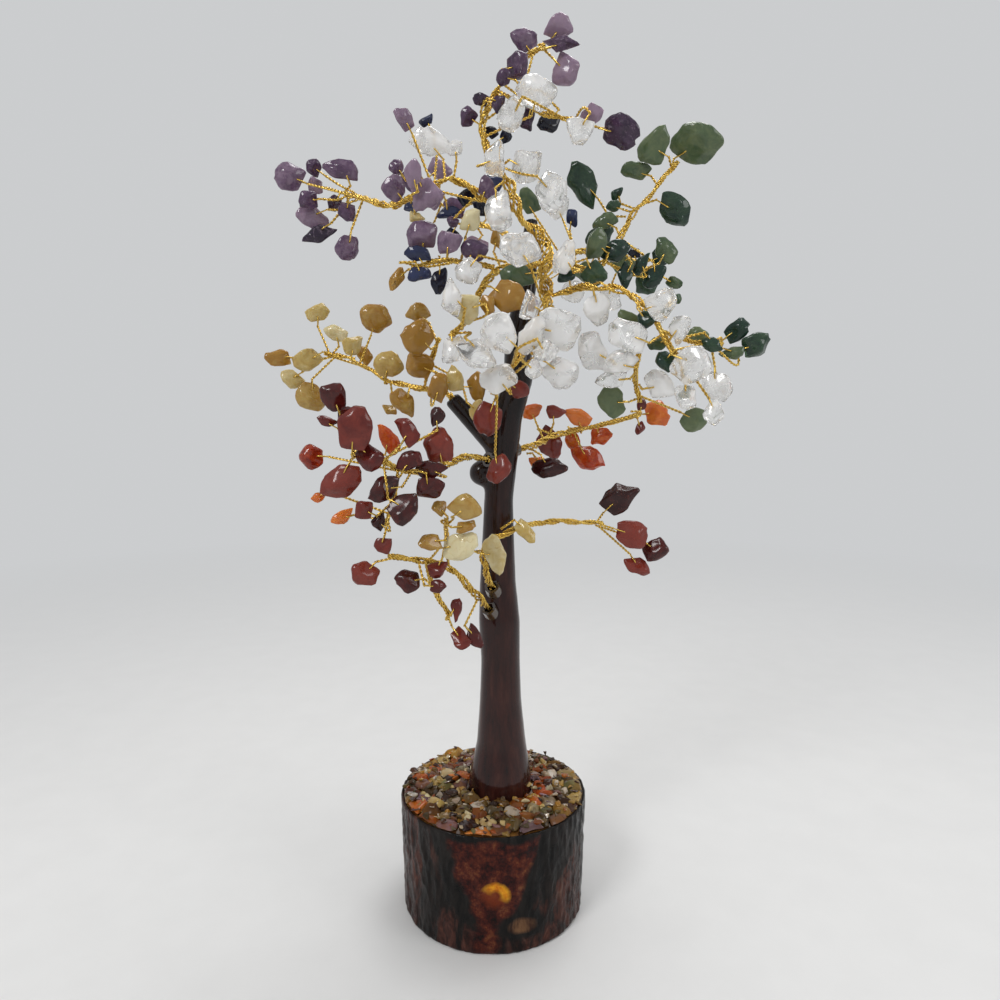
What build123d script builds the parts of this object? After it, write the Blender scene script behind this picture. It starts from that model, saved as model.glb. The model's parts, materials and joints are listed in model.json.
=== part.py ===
from build123d import *
import math
import os

import numpy as np

# Tree ornament of drilled stone chips strung on twisted gold wire.
# Millimetres, +Z up, origin at the middle of the log's underside, front towards -Y.

# Log base
BASE_HEIGHT = 37.5
BASE_TOP_RADIUS = 30.0
BASE_FOOT_RADIUS = 29.2
BASE_TOP_ROUND = 0.8
BASE_FOOT_ROUND = 0.8
DISH_RIM_WIDTH = 1.0
DISH_DEPTH = 2.4
FIT_CLEARANCE = 0.05
PEG_END_ROOM = 0.5

# Resin bed and its loose chips
RESIN_CROWN = 1.0
BED_CHIP_COUNT = 122
BED_CHIP_GAP = 0.25
BED_CHIP_REACH = 4.4
BED_CHIP_LEAST_ROOM = 1.1
BED_CHIP_HEIGHT = 2.6
BED_CHIP_LIFT = 0.03
BED_CHIP_SIDES = 6
BED_STRAY_SHARE = 0.3
BED_HEIGHT_SHARES = (0.35, 1.0)
BED_CROWN_SHARES = (0.4, 0.75)
BED_KINDS = (
    "citrine", "jasper", "citrine", "lapis", "carnelian", "quartz", "green", "citrine", "amethyst",
    "carnelian",
)
BED_KIND_STEP = 3
BED_KIND_ROW = 7

# Trunk: shares of the tree's height, of the trunk's diameter, and of the diameter for the lean
TREE_HEIGHT = 236.5
TRUNK_DIAMETER = 12.5
PEG_RADIUS = 4.5
PEG_LENGTH = 14.0
TRUNK_SHARES = (
    # height, diameter, lean to the right
    (0.000, 1.66, 0.18),
    (0.020, 1.60, 0.18),
    (0.067, 1.27, 0.21),
    (0.124, 1.08, 0.19),
    (0.181, 1.00, 0.19),
    (0.236, 1.05, 0.16),
    (0.292, 0.91, 0.12),
    (0.399, 0.73, 0.14),
    (0.456, 0.81, 0.22),
    (0.505, 0.79, 0.33),
    (0.556, 0.74, 0.62),
    (0.620, 0.64, 0.62),
    (0.670, 0.50, 0.81),
    (0.757, 0.34, 0.93),
)
FORK_START_SHARES = (0.22, 0.462, 0.58)
FORK_TIP_SHARES = (-1.02, 0.533, 0.42)
FORK_FORWARD_SHARE = 0.25
KNOB_SHARES = (-0.27, 0.435, 0.33)

# Sight lines: where the eye stands, as shares of the tree's height above the bed
EYE_DISTANCE_SHARE = 0.98689
EYE_RISE_SHARE = 0.51501
EYE_ASIDE_SHARE = 0.0093
EYE_PITCH_DEGREES = 6.7
FOCAL_PIXELS = 752.0
MIDDLE_PIXEL = 500.0
CROWN_REACH = 60.0

# Wire
WIRE_RADIUS = 0.27
TWIG_RADIUS = 0.48
STEM_ROOT_RADIUS = 1.55
STEM_TIP_RADIUS = 0.95
MAST_ROOT_RADIUS = 2.2
MAST_RADIUS = 2.8
MAST_TIP_RADIUS = 2.1
HINGE_GAP = 0.5
ROOT_GAP = 0.8
START_STEP = 0.1
START_STEPS = 120
ROOT_PROUD = 1.2
ROOT_SINK_SHARE = 0.75
ROOT_GIRTH_SHARE = 0.5
LEAST_SLANT_SHARE = 0.5
GLUE_RADIUS = 3.2
GLUE_FOOT_SHARE = 1.1
GLUE_TIP_SHARE = 0.72
GLUE_GIRTH_SHARE = 0.8
GLUE_PROUD = 0.9
TWIG_GAP = 0.06
TIE_GAP = 0.24
TWIG_ROOT_SHARES = (0.15, 0.4, 0.65, 0.9)
TWIG_LEAVE_SHARE = 0.15
NEAREST_ROOTS = 16
NEAREST_KNEE_ROOTS = 10
KNEE_REACH = 8.0
KNEE_OUT_SHARES = (0.12, 0.3, 0.6, 1.0)
KNEE_FORWARD_SHARES = (0.0, 0.2, -0.2, 0.4, -0.4, 0.8, -0.8, 1.2, -1.2)
KNEE_ASIDE_SHARES = (0.0, -0.35, 0.35, -0.75, 0.75)
MITRE_SHARE = 0.3
WIRE_SIDES = 3
STEM_SIDES = 6
TRUNK_SIDES = 8
STEEP_SHARE = 0.9

# Chips of the crown
CHIP_THICKNESS_SHARE = 0.52
CHIP_LEAST_THICKNESS = 2.2
CHIP_MOST_THICKNESS = 4.4
CHIP_OUTLINE_SHARE = 1.1
CHIP_LEAN_SHARE = 0.28
BELT_TURNS_DEGREES = (
    (-36.0, 36.0, 104.0, 180.0, -104.0),
    (-30.0, 30.0, 92.0, 150.0, -140.0, -82.0),
    (-42.0, 42.0, 118.0, 205.0, -96.0),
    (-34.0, 34.0, 84.0, 160.0, -128.0),
)
BELT_TURN_SPREAD = 0.28
BELT_REACH_SHARES = (0.84, 1.04)
BELT_RISE_SHARE = 0.16
RIDGE_BACK_SHARES = (0.12, 0.3)
RIDGE_HALF_SHARES = (0.3, 0.46)
RIDGE_HEIGHT_SHARES = (0.9, 1.1)
EXIT_TURN_SPREAD = 0.25
DEPTH_SPREAD_SHARE = 0.05
STEM_ROW_STEPS = 6
HOLE_CLEARANCE = 0.1
HOLE_INWARD_SHARE = 0.45
LOOP_STAND_OFF_SHARE = 1.25
LOOP_REACH = 1.3
CHIP_GAP = 0.45
BOUGH_GAP = 2.4
BOUGH_TWIG_GAP = 1.4
CUT_OVERRUN = 20.0

# Settling the chips
SETTLE_STEPS = 500
SETTLE_RATE = 0.35
SETTLE_HOST_RATE = 0.7
SETTLE_STRIDE = 1.5
SETTLE_TURN = 120
NEAR_REACH_SHARE = 1.15
DIRECTION_COUNT = 110
BEHIND_SHARE = 0.03
SEED = 7

# Picture tables are photo pixels: across, down, then a depth share of the crown's reach.
# A minus share is nearer to the viewer than the trunk.
MAST_PIXELS = (
    (538, 322, -0.13), (546, 298, -0.15), (547, 262, -0.15), (543, 238, -0.16), (523, 222, -0.17),
    (515, 206, -0.18), (508, 180, -0.18),
)
MAST_ROOT_ROW_PIXEL = 352

# Each bough: where it is rooted, its stems, and its chips by stone.
# A stem row is across, down, depth share.
# The first stem starts at the root, each further one on the first stem.
# A chip row is across, down, apparent length, apparent width, tilt in degrees,
# and for a few a depth share of their own.
# The number before the chip rows is the depth share by which that stone lies behind the stem.
BOUGHS = {
    "top": {
        "root": ("mast", 6),
        "stems": (
            (
                (490, 160, -0.20), (480, 125, -0.16), (497, 90, -0.10), (528, 54, -0.04),
                (546, 47, -0.02),
            ),
            ((497, 90, -0.10), (528, 108, -0.16), (556, 118, -0.20), (588, 122, -0.24)),
        ),
        "chips": {
            "amethyst": (0.02, (
                (560, 26, 32, 22, 20), (523, 40, 30, 22, -10), (562, 43, 42, 14, 5),
                (518, 66, 32, 24, 70), (503, 77, 18, 14, 60), (566, 72, 42, 26, 80),
                (499, 102, 20, 13, 70), (592, 113, 24, 20, 30), (621, 132, 40, 34, -15),
                (527, 121, 26, 15, 80), (480, 99, 20, 13, 5), (468, 117, 22, 18, 60),
            )),
            "quartz": (-0.12, (
                (538, 93, 44, 32, -20), (511, 117, 42, 22, 65), (495, 160, 42, 20, 90),
                (528, 168, 50, 30, 80), (553, 193, 42, 30, -60), (580, 131, 40, 24, -10),
                (499, 211, 38, 30, 70),
            )),
            "lapis": (0.08, (
                (548, 123, 26, 20, 30), (506, 136, 15, 11, 60), (492, 132, 14, 11, 20),
            )),
        },
    },
    "upper_left": {
        "root": ("mast", 5),
        "stems": (
            (
                (490, 204, -0.21), (472, 188, -0.22), (450, 178, -0.23), (430, 186, -0.24),
                (410, 199, -0.25),
            ),
        ),
        "chips": {
            "amethyst": (-0.05, (
                (404, 118, 36, 14, -62), (396, 167, 18, 15, 90), (393, 187, 28, 20, -60),
                (413, 173, 28, 18, 80, -0.10), (425, 195, 34, 29, 20), (487, 187, 26, 18, -40),
                (452, 222, 14, 11, 30),
            )),
            "quartz": (-0.02, ((430, 142, 42, 24, -15), (456, 148, 20, 16, 0))),
            "lapis": (0.08, (
                (428, 121, 28, 9, 25), (411, 207, 15, 11, 0), (448, 213, 26, 12, 10),
                (468, 197, 26, 15, 20),
            )),
            "citrine": (0.08, ((415, 217, 22, 10, 0),)),
        },
    },
    "left_amethyst": {
        "root": ("upper_left", 3),
        "stems": (
            ((392, 206, -0.22), (377, 203, -0.14), (345, 192, 0.00)),
        ),
        "chips": {
            "amethyst": (0.00, (
                (290, 177, 32, 27, 40), (313, 167, 20, 15, -55), (315, 186, 24, 14, 85),
                (346, 170, 46, 18, -8), (308, 199, 30, 17, 0), (311, 217, 36, 21, -20),
                (318, 234, 36, 16, 15), (334, 204, 18, 14, 60), (346, 212, 28, 16, 75),
                (348, 248, 26, 24, 40),
            )),
        },
    },
    "mid_left": {
        "root": ("mast", 2),
        "stems": (
            (
                (524, 267, -0.28), (499, 268, -0.34), (480, 288, -0.38), (470, 318, -0.40),
                (450, 337, -0.42),
            ),
            ((499, 268, -0.34), (465, 262, -0.34), (440, 259, -0.32), (412, 268, -0.30)),
        ),
        "chips": {
            "quartz": (-0.06, (
                (467, 271, 30, 25, 10), (451, 297, 38, 20, -72), (454, 350, 30, 26, 40),
                (478, 354, 42, 28, -20),
            )),
            "citrine": (0.03, (
                (508, 298, 42, 28, -30), (488, 306, 24, 15, -70), (466, 308, 38, 25, 70),
                (471, 219, 30, 20, 60), (497, 240, 26, 12, 80), (397, 279, 25, 13, 60),
            )),
            "amethyst": (-0.03, (
                (474, 250, 28, 22, 0), (449, 241, 32, 23, 55), (422, 235, 34, 30, 30),
            )),
            "lapis": (0.04, (
                (418, 254, 32, 14, -10), (420, 275, 28, 14, 10), (440, 280, 28, 17, 75),
            )),
        },
    },
    "green": {
        "root": ("mast", 2),
        "stems": (
            (
                (568, 266, -0.12), (590, 272, -0.04), (606, 262, 0.02), (621, 236, 0.08),
                (631, 215, 0.12), (645, 203, 0.16), (661, 181, 0.18), (678, 162, 0.20),
            ),
            ((606, 262, 0.02), (630, 275, 0.08), (652, 268, 0.12)),
        ),
        "chips": {
            "green": (0.00, (
                (652, 147, 43, 30, 70), (636, 170, 34, 18, -15), (697, 142, 52, 42, -20),
                (675, 210, 43, 28, -60), (582, 184, 48, 28, -65), (617, 193, 18, 11, 60),
                (613, 206, 15, 11, 0), (603, 221, 30, 15, 10), (596, 244, 34, 20, 70),
                (615, 250, 30, 22, 10), (666, 250, 30, 20, -50), (641, 263, 26, 12, 60),
                (655, 277, 28, 18, 30), (674, 283, 18, 11, -20), (625, 275, 26, 14, 80),
                (594, 274, 32, 22, 40), (566, 276, 20, 14, 20), (518, 276, 36, 22, -15),
            )),
            "lapis": (0.08, ((572, 217, 24, 12, 90), (634, 253, 15, 10, -30))),
            "quartz": (-0.10, ((564, 257, 34, 22, 70),)),
        },
    },
    "right_quartz": {
        "root": ("mast", 1),
        "stems": (
            (
                (575, 288, -0.22), (603, 285, -0.32), (628, 292, -0.40), (648, 306, -0.44),
                (660, 330, -0.46), (677, 358, -0.46),
            ),
            ((660, 330, -0.46), (690, 342, -0.40), (722, 344, -0.32)),
            ((648, 306, -0.44), (640, 345, -0.42), (634, 378, -0.36), (640, 402, -0.30)),
        ),
        "chips": {
            "quartz": (-0.05, (
                (597, 309, 30, 25, 90), (627, 335, 50, 30, -25), (592, 352, 54, 26, -72),
                (617, 361, 42, 24, 10), (613, 379, 34, 18, 10), (662, 303, 42, 30, -60),
                (681, 326, 36, 22, 80), (695, 364, 48, 36, 20), (660, 385, 36, 28, -60),
                (686, 397, 28, 23, -60), (715, 385, 36, 28, -45), (715, 413, 28, 20, 60),
            )),
            "green": (0.05, (
                (628, 319, 30, 16, -30), (646, 320, 20, 16, 40), (656, 344, 20, 14, 10),
                (665, 362, 24, 18, -45), (699, 336, 22, 18, 20), (713, 345, 24, 14, -20),
                (737, 330, 36, 18, 40), (755, 344, 38, 24, 15), (735, 353, 30, 13, 5),
                (696, 420, 30, 26, 0), (611, 402, 36, 24, -60), (677, 299, 12, 9, 80),
            )),
        },
    },
    "front_quartz": {
        "root": ("mast", 1),
        "stems": (
            (
                (551, 310, -0.34), (543, 330, -0.46), (524, 351, -0.50), (508, 370, -0.48),
                (493, 394, -0.36),
            ),
        ),
        "chips": {
            "quartz": (-0.04, (
                (519, 248, 44, 34, -30), (531, 305, 48, 18, 75), (560, 331, 56, 40, -40),
                (498, 332, 44, 34, -60, -0.20), (530, 336, 40, 22, 60), (545, 352, 26, 20, 30),
                (561, 374, 40, 34, 0), (497, 378, 38, 30, -15), (534, 371, 26, 16, -50, -0.08),
            )),
            "jasper": (0.06, (
                (487, 418, 42, 26, 70), (499, 470, 32, 24, 70), (519, 390, 22, 18, -40),
            )),
        },
    },
    "left_yellow": {
        "root": ("fork", 0),
        "stems": (
            (
                (441, 388, -0.05), (424, 389, -0.02), (395, 383, 0.06), (372, 372, 0.14),
                (352, 358, 0.20), (325, 353, 0.26),
            ),
            ((424, 389, -0.02), (430, 362, -0.08), (440, 338, -0.12)),
        ),
        "chips": {
            "citrine": (0.00, (
                (318, 312, 26, 19, 15), (376, 317, 35, 29, -10), (337, 333, 28, 16, -15),
                (353, 345, 24, 18, 40), (364, 352, 28, 15, -70), (278, 358, 28, 18, -10),
                (308, 361, 34, 20, 25), (290, 380, 28, 19, 10), (311, 397, 35, 25, -30),
                (389, 364, 34, 24, 10), (405, 403, 36, 20, -42), (392, 410, 24, 10, 0),
                (418, 312, 24, 21, 0), (417, 336, 37, 31, -50), (418, 364, 32, 26, -30),
                (439, 386, 34, 22, 80), (455, 380, 32, 17, 85), (477, 387, 38, 17, -75),
                (477, 410, 22, 14, 60),
            )),
        },
    },
    "left_red": {
        "root": ("trunk", 462),
        "stems": (
            (
                (468, 456, -0.16), (450, 462, -0.28), (425, 474, -0.40), (398, 470, -0.48),
                (378, 457, -0.50), (352, 452, -0.48),
            ),
            ((398, 470, -0.48), (395, 492, -0.48), (386, 526, -0.44)),
        ),
        "chips": {
            "jasper": (0.00, (
                (334, 397, 32, 25, -60), (326, 421, 28, 10, -15), (354, 430, 46, 36, 88),
                (346, 413, 22, 14, 30), (371, 457, 31, 26, -45), (410, 432, 56, 17, -62),
                (436, 416, 24, 16, 40), (438, 446, 42, 30, -70), (410, 461, 30, 18, 15),
                (431, 469, 32, 18, 0), (341, 483, 50, 32, 42), (384, 488, 36, 24, 50),
                (364, 510, 28, 16, 80), (378, 522, 24, 13, 75), (382, 546, 26, 15, 60),
                (404, 509, 40, 26, 45), (428, 489, 32, 22, 5),
            )),
            "carnelian": (0.16, (
                (389, 440, 36, 15, -60), (312, 456, 28, 23, 85), (343, 517, 28, 13, 25),
                (318, 498, 14, 10, 20),
            )),
        },
    },
    "low_front": {
        "root": ("trunk", 620),
        "stems": (
            ((474, 592, -0.24), (449, 566, -0.34), (425, 561, -0.42), (388, 556, -0.48)),
            ((449, 566, -0.34), (442, 540, -0.38), (446, 518, -0.40)),
            ((425, 561, -0.42), (434, 592, -0.40), (451, 616, -0.36)),
        ),
        "chips": {
            "citrine": (-0.02, (
                (467, 507, 44, 22, 20, -0.10), (460, 546, 38, 26, 25), (431, 542, 30, 17, 0),
                (466, 527, 24, 13, 15), (439, 508, 20, 13, 70),
            )),
            "jasper": (0.03, (
                (363, 575, 33, 26, 10), (408, 581, 27, 24, 20), (438, 570, 34, 16, 5),
                (437, 586, 19, 13, 0), (457, 606, 30, 12, 85), (461, 640, 34, 15, -62),
                (475, 637, 30, 14, -60),
            )),
        },
    },
    "right_red": {
        "root": ("trunk", 598),
        "stems": (
            (
                (487, 578, -0.18), (481, 545, -0.22), (510, 530, -0.22), (545, 521, -0.12),
                (575, 522, -0.02), (603, 523, 0.06),
            ),
        ),
        "chips": {
            "citrine": (-0.04, ((495, 554, 42, 21, -72), (525, 530, 40, 13, -45))),
            "jasper": (0.00, (
                (619, 498, 42, 26, 40), (632, 534, 36, 28, -30), (656, 550, 36, 20, 35),
                (637, 567, 30, 18, -45),
            )),
        },
    },
    "back_carnelian": {
        "root": ("trunk", 452),
        "stems": (
            (
                (534, 446, 0.14), (550, 437, 0.32), (576, 430, 0.42), (603, 425, 0.42),
                (640, 414, 0.28),
            ),
        ),
        "chips": {
            "carnelian": (0.00, (
                (588, 459, 40, 24, -45), (577, 417, 30, 17, -15), (599, 437, 28, 17, 10),
                (573, 441, 22, 15, -60), (539, 463, 22, 12, -10), (532, 411, 22, 14, 30),
                (658, 413, 30, 24, -45),
            )),
            "jasper": (-0.06, (
                (551, 444, 42, 25, -55), (548, 468, 36, 20, -5), (553, 412, 28, 13, 0),
                (641, 404, 14, 10, 60), (640, 428, 14, 10, 60),
            )),
        },
    },
    "back_left": {
        "root": ("trunk", 266),
        "stems": (
            ((508, 232, 0.24), (476, 224, 0.44), (445, 207, 0.54), (424, 190, 0.56)),
        ),
        "chips": {
            "amethyst": (0.00, (
                (430, 197, 30, 24, 40), (455, 208, 26, 20, 0), (410, 180, 26, 20, 60),
                (440, 168, 26, 20, -30), (474, 248, 28, 22, 20),
            )),
            "lapis": (0.06, (
                (424, 232, 26, 17, 10), (484, 206, 24, 17, -40), (449, 240, 24, 19, 60),
                (494, 182, 24, 19, 30),
            )),
        },
    },
    "back_right": {
        "root": ("trunk", 292),
        "stems": (
            ((548, 262, 0.22), (580, 250, 0.44), (612, 252, 0.54), (640, 264, 0.54)),
        ),
        "chips": {
            "green": (0.00, (
                (527, 202, 38, 17, -50), (600, 236, 30, 22, 40), (622, 264, 28, 20, -20),
                (646, 284, 28, 22, 60), (588, 272, 28, 20, 0), (662, 256, 24, 18, 30),
            )),
            "quartz": (0.05, (
                (556, 206, 28, 22, 50), (608, 300, 30, 24, -30), (572, 292, 26, 22, 10),
            )),
        },
    },
}

# Derived sizes
DISH_FLOOR = BASE_HEIGHT - DISH_DEPTH
DISH_RADIUS = BASE_TOP_RADIUS - DISH_RIM_WIDTH
TRUNK_FOOT_RADIUS = TRUNK_SHARES[0][1] * TRUNK_DIAMETER / 2
TRUNK_FOOT_ASIDE = TRUNK_SHARES[0][2] * TRUNK_DIAMETER
EYE = np.array([
    EYE_ASIDE_SHARE * TREE_HEIGHT,
    -EYE_DISTANCE_SHARE * TREE_HEIGHT,
    BASE_HEIGHT + EYE_RISE_SHARE * TREE_HEIGHT,
])
HOLE_HALF_WIDTH = WIRE_RADIUS + HOLE_CLEARANCE
GOLDEN_TURN = math.pi * (3 - math.sqrt(5))
UP = np.array([0.0, 0.0, 1.0])


# Sight lines

def unit(vector):
    return vector / np.linalg.norm(vector)


def sight_ray(across, down):
    """Ray of a photo pixel, one unit long along the line of sight to the picture's middle."""
    pitch = math.radians(EYE_PITCH_DEGREES)
    aside = (across - MIDDLE_PIXEL) / FOCAL_PIXELS
    rise = (MIDDLE_PIXEL - down) / FOCAL_PIXELS
    return np.array([
        aside,
        math.cos(pitch) + rise * math.sin(pitch),
        rise * math.cos(pitch) - math.sin(pitch),
    ])


def sight_point(across, down, depth_share):
    """Where a pixel's ray meets the upright plane at that depth, and the size of one pixel there."""
    ray = sight_ray(across, down)
    reach = (depth_share * CROWN_REACH - EYE[1]) / ray[1]
    return EYE + reach * ray, reach / FOCAL_PIXELS


def sight_points(rows):
    return [sight_point(*row)[0] for row in rows]


# Trunk line

def trunk_at(height):
    """Axis point and radius of the trunk at a height above the origin."""
    heights = [DISH_FLOOR] + [BASE_HEIGHT + row[0] * TREE_HEIGHT for row in TRUNK_SHARES[1:]]
    radius = np.interp(height, heights, [row[1] * TRUNK_DIAMETER / 2 for row in TRUNK_SHARES])
    aside = np.interp(height, heights, [row[2] * TRUNK_DIAMETER for row in TRUNK_SHARES])
    return np.array([aside, 0.0, height]), radius


def trunk_stations():
    heights = [DISH_FLOOR] + [BASE_HEIGHT + row[0] * TREE_HEIGHT for row in TRUNK_SHARES[1:]]
    return [trunk_at(height) for height in heights]


def fork_stations():
    """Axis points and radii of the fork stub that leaves the trunk to the left."""
    stations = []
    for aside, height, girth in (FORK_START_SHARES, FORK_TIP_SHARES):
        forward = FORK_FORWARD_SHARE if aside < 0 else 0.0
        rise = BASE_HEIGHT + height * TREE_HEIGHT
        place = np.array([aside * TRUNK_DIAMETER, -forward * TRUNK_DIAMETER, rise])
        stations.append((place, girth * TRUNK_DIAMETER / 2))
    return stations


# Separating convex bodies along a fan of directions

def fan_of_directions(count):
    steps = np.arange(count)
    rise = (steps + 0.5) / count
    turn = steps * GOLDEN_TURN
    flat = np.sqrt(1 - rise ** 2)
    return np.stack([flat * np.cos(turn), flat * np.sin(turn), rise], axis=1)


DIRECTIONS = fan_of_directions(DIRECTION_COUNT)


def spans(points, radius=0.0):
    """Lowest and highest reach of a convex body along each direction."""
    reach = np.asarray(points) @ DIRECTIONS.T
    return reach.min(axis=0) - radius, reach.max(axis=0) + radius


def gaps(low, high, lows, highs):
    """Widest clear gap between one body and each of a list."""
    return np.maximum(low - highs, lows - high).max(axis=1)


class Bodies:
    """A growing list of convex bodies with the bough that owns each."""

    def __init__(self):
        self.low = np.zeros((0, DIRECTION_COUNT))
        self.high = np.zeros((0, DIRECTION_COUNT))
        self.owners = []

    def add(self, points, radius, owner):
        low, high = spans(points, radius)
        self.low = np.vstack([self.low, low])
        self.high = np.vstack([self.high, high])
        self.owners.append(owner)

    def gap(self, points, radius, skip=(), owner=None, further=0.0):
        """Smallest gap from a body to all the others but the skipped ones.

        Bodies of other owners have to lie further off, so they count as that much nearer.
        """
        low, high = spans(points, radius)
        clear = gaps(low, high, self.low, self.high)
        clear[[other != owner for other in self.owners]] -= further
        clear[list(skip)] = math.inf
        return clear.min()


# Wire bundles: stems, mast and roots

def leave(host, host_radius, host_direction, target):
    """Where a bundle on its way from the middle of the trunk to a target comes through the bark."""
    direction = unit(target - host)
    slant = max(np.linalg.norm(np.cross(direction, host_direction)), LEAST_SLANT_SHARE)
    return host + direction * (host_radius / slant), direction


def clear_start(host, target, girth, hosts):
    """First point on the way from a host bundle to a target where the bundle's end stands clear of it."""
    direction = unit(target - host)
    for step in range(START_STEPS):
        start = host + direction * step * START_STEP
        if hosts.gap(prism_corners(start, start + direction, girth, STEM_SIDES), 0.0) > HINGE_GAP:
            break
    return start, direction


def tapered(count, root_radius, tip_radius):
    return [root_radius + (tip_radius - root_radius) * k / max(count - 1, 1) for k in range(count)]


def lay_mast():
    row_point = sight_point(MIDDLE_PIXEL, MAST_ROOT_ROW_PIXEL, 0)[0]
    axis, radius = trunk_at(row_point[2])
    points = sight_points(MAST_PIXELS)
    start, direction = leave(axis, radius, UP, points[0])
    sunk = start - direction * radius * ROOT_SINK_SHARE
    line = [sunk] + points
    radii = [MAST_ROOT_RADIUS] + tapered(len(line) - 2, MAST_RADIUS, MAST_TIP_RADIUS)
    return {"line": line, "radii": radii, "bodies": run_bodies(line, radii, "mast")}


def run_bodies(line, radii, owner):
    """The prisms of a bundle's runs as bodies to keep clear of."""
    bodies = Bodies()
    for k, radius in enumerate(radii):
        bodies.add(prism_corners(line[k], line[k + 1], radius, STEM_SIDES), 0.0, owner)
    return bodies


def lay_stems(mast):
    """Centre lines and radii of every bough's stems, and the root of each bough."""
    laid = {}
    for name, bough in BOUGHS.items():
        host_name, host_place = bough["root"]
        lines = [sight_points(rows) for rows in bough["stems"]]
        target = lines[0][0]
        root = None
        girth = STEM_ROOT_RADIUS
        if host_name == "trunk":
            height = sight_point(MIDDLE_PIXEL, host_place, 0)[0][2]
            axis, radius = trunk_at(height)
            mouth, direction = leave(axis, radius, UP, target)
            girth = min(STEM_ROOT_RADIUS, ROOT_GIRTH_SHARE * radius)
            sunk = mouth - direction * radius * ROOT_SINK_SHARE
            root = {"sunk": sunk, "mouth": mouth, "host_radius": radius}
        elif host_name == "fork":
            (base, _), (mouth, radius) = fork_stations()
            direction = unit(mouth - base)
            sunk = mouth - direction * radius * 2 * ROOT_SINK_SHARE
            root = {"sunk": sunk, "mouth": mouth, "host_radius": radius}
        elif host_name == "mast":
            host = mast["line"][host_place + 1]
            start, direction = clear_start(host, target, girth, mast["bodies"])
        else:
            other = laid[host_name]
            hosts = run_bodies(other["lines"][0], other["radii"][0], host_name)
            start, direction = clear_start(other["lines"][0][-1], target, girth, hosts)
        if root is not None:
            root["proud"] = root["mouth"] + direction * ROOT_PROUD
            root["radius"] = girth
            start = root["proud"] + direction * ROOT_GAP
        lines[0] = [start] + lines[0]
        radii = [tapered(len(lines[0]) - 1, girth, STEM_TIP_RADIUS)]
        for line in lines[1:]:
            near = min(range(len(lines[0])), key=lambda i: np.linalg.norm(lines[0][i] - line[0]))
            girth = radii[0][min(near, len(radii[0]) - 1)]
            line[0] = line[0] + unit(line[1] - line[0]) * (girth + TWIG_GAP)
            radii.append([STEM_TIP_RADIUS] * (len(line) - 1))
        laid[name] = {"lines": lines, "radii": radii, "root": root, "hinge": start}
    return laid


# Chips of the crown

def ellipse_radius(turn, half_length, half_width, tilt):
    along = math.cos(turn - tilt) / half_length
    across = math.sin(turn - tilt) / half_width
    return 1 / math.hypot(along, across)


def chip_corners(half_length, half_width, thickness, tilt, exit_turn, draw):
    """Corners of a chip in its own plane: a belt of five or six and a ridge of two on each face.

    The belt is straight across the exit, where the wire leaves, and both faces slope down to that edge,
    so the hole goes through two plane facets.
    """
    turns = exit_turn + np.radians(BELT_TURNS_DEGREES[draw.integers(len(BELT_TURNS_DEGREES))])
    turns[2:] += draw.uniform(-BELT_TURN_SPREAD, BELT_TURN_SPREAD, len(turns) - 2)
    belt = []
    for k, turn in enumerate(turns):
        radius = ellipse_radius(turn, half_length, half_width, tilt) * CHIP_OUTLINE_SHARE
        if k > 1:
            radius *= draw.uniform(*BELT_REACH_SHARES)
        rise = draw.uniform(-BELT_RISE_SHARE, BELT_RISE_SHARE) * thickness if k > 1 else 0.0
        belt.append([radius * math.cos(turn), radius * math.sin(turn), rise])
    belt = np.array(belt)
    edge = unit(belt[1] - belt[0])
    edge_middle = (belt[0] + belt[1]) / 2
    back = ellipse_radius(exit_turn + math.pi, half_length, half_width, tilt)
    side = ellipse_radius(exit_turn + math.pi / 2, half_length, half_width, tilt)
    outward = np.array([math.cos(exit_turn), math.sin(exit_turn), 0.0])
    ridges = []
    for face in (1, -1):
        middle = -outward * back * draw.uniform(*RIDGE_BACK_SHARES)
        half_ridge = side * draw.uniform(*RIDGE_HALF_SHARES)
        height = face * thickness / 2 * draw.uniform(*RIDGE_HEIGHT_SHARES)
        for end in (1, -1):
            ridges.append(middle + end * half_ridge * edge + UP * height)
    return belt, np.array(ridges), edge_middle, outward


def facet_height(edge_middle, outward, ridge, place):
    """Height of the plane through the exit edge and a ridge, above a place in the chip's plane."""
    run = (edge_middle - ridge) @ outward
    return ridge[2] * ((edge_middle - place) @ outward) / run


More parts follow.
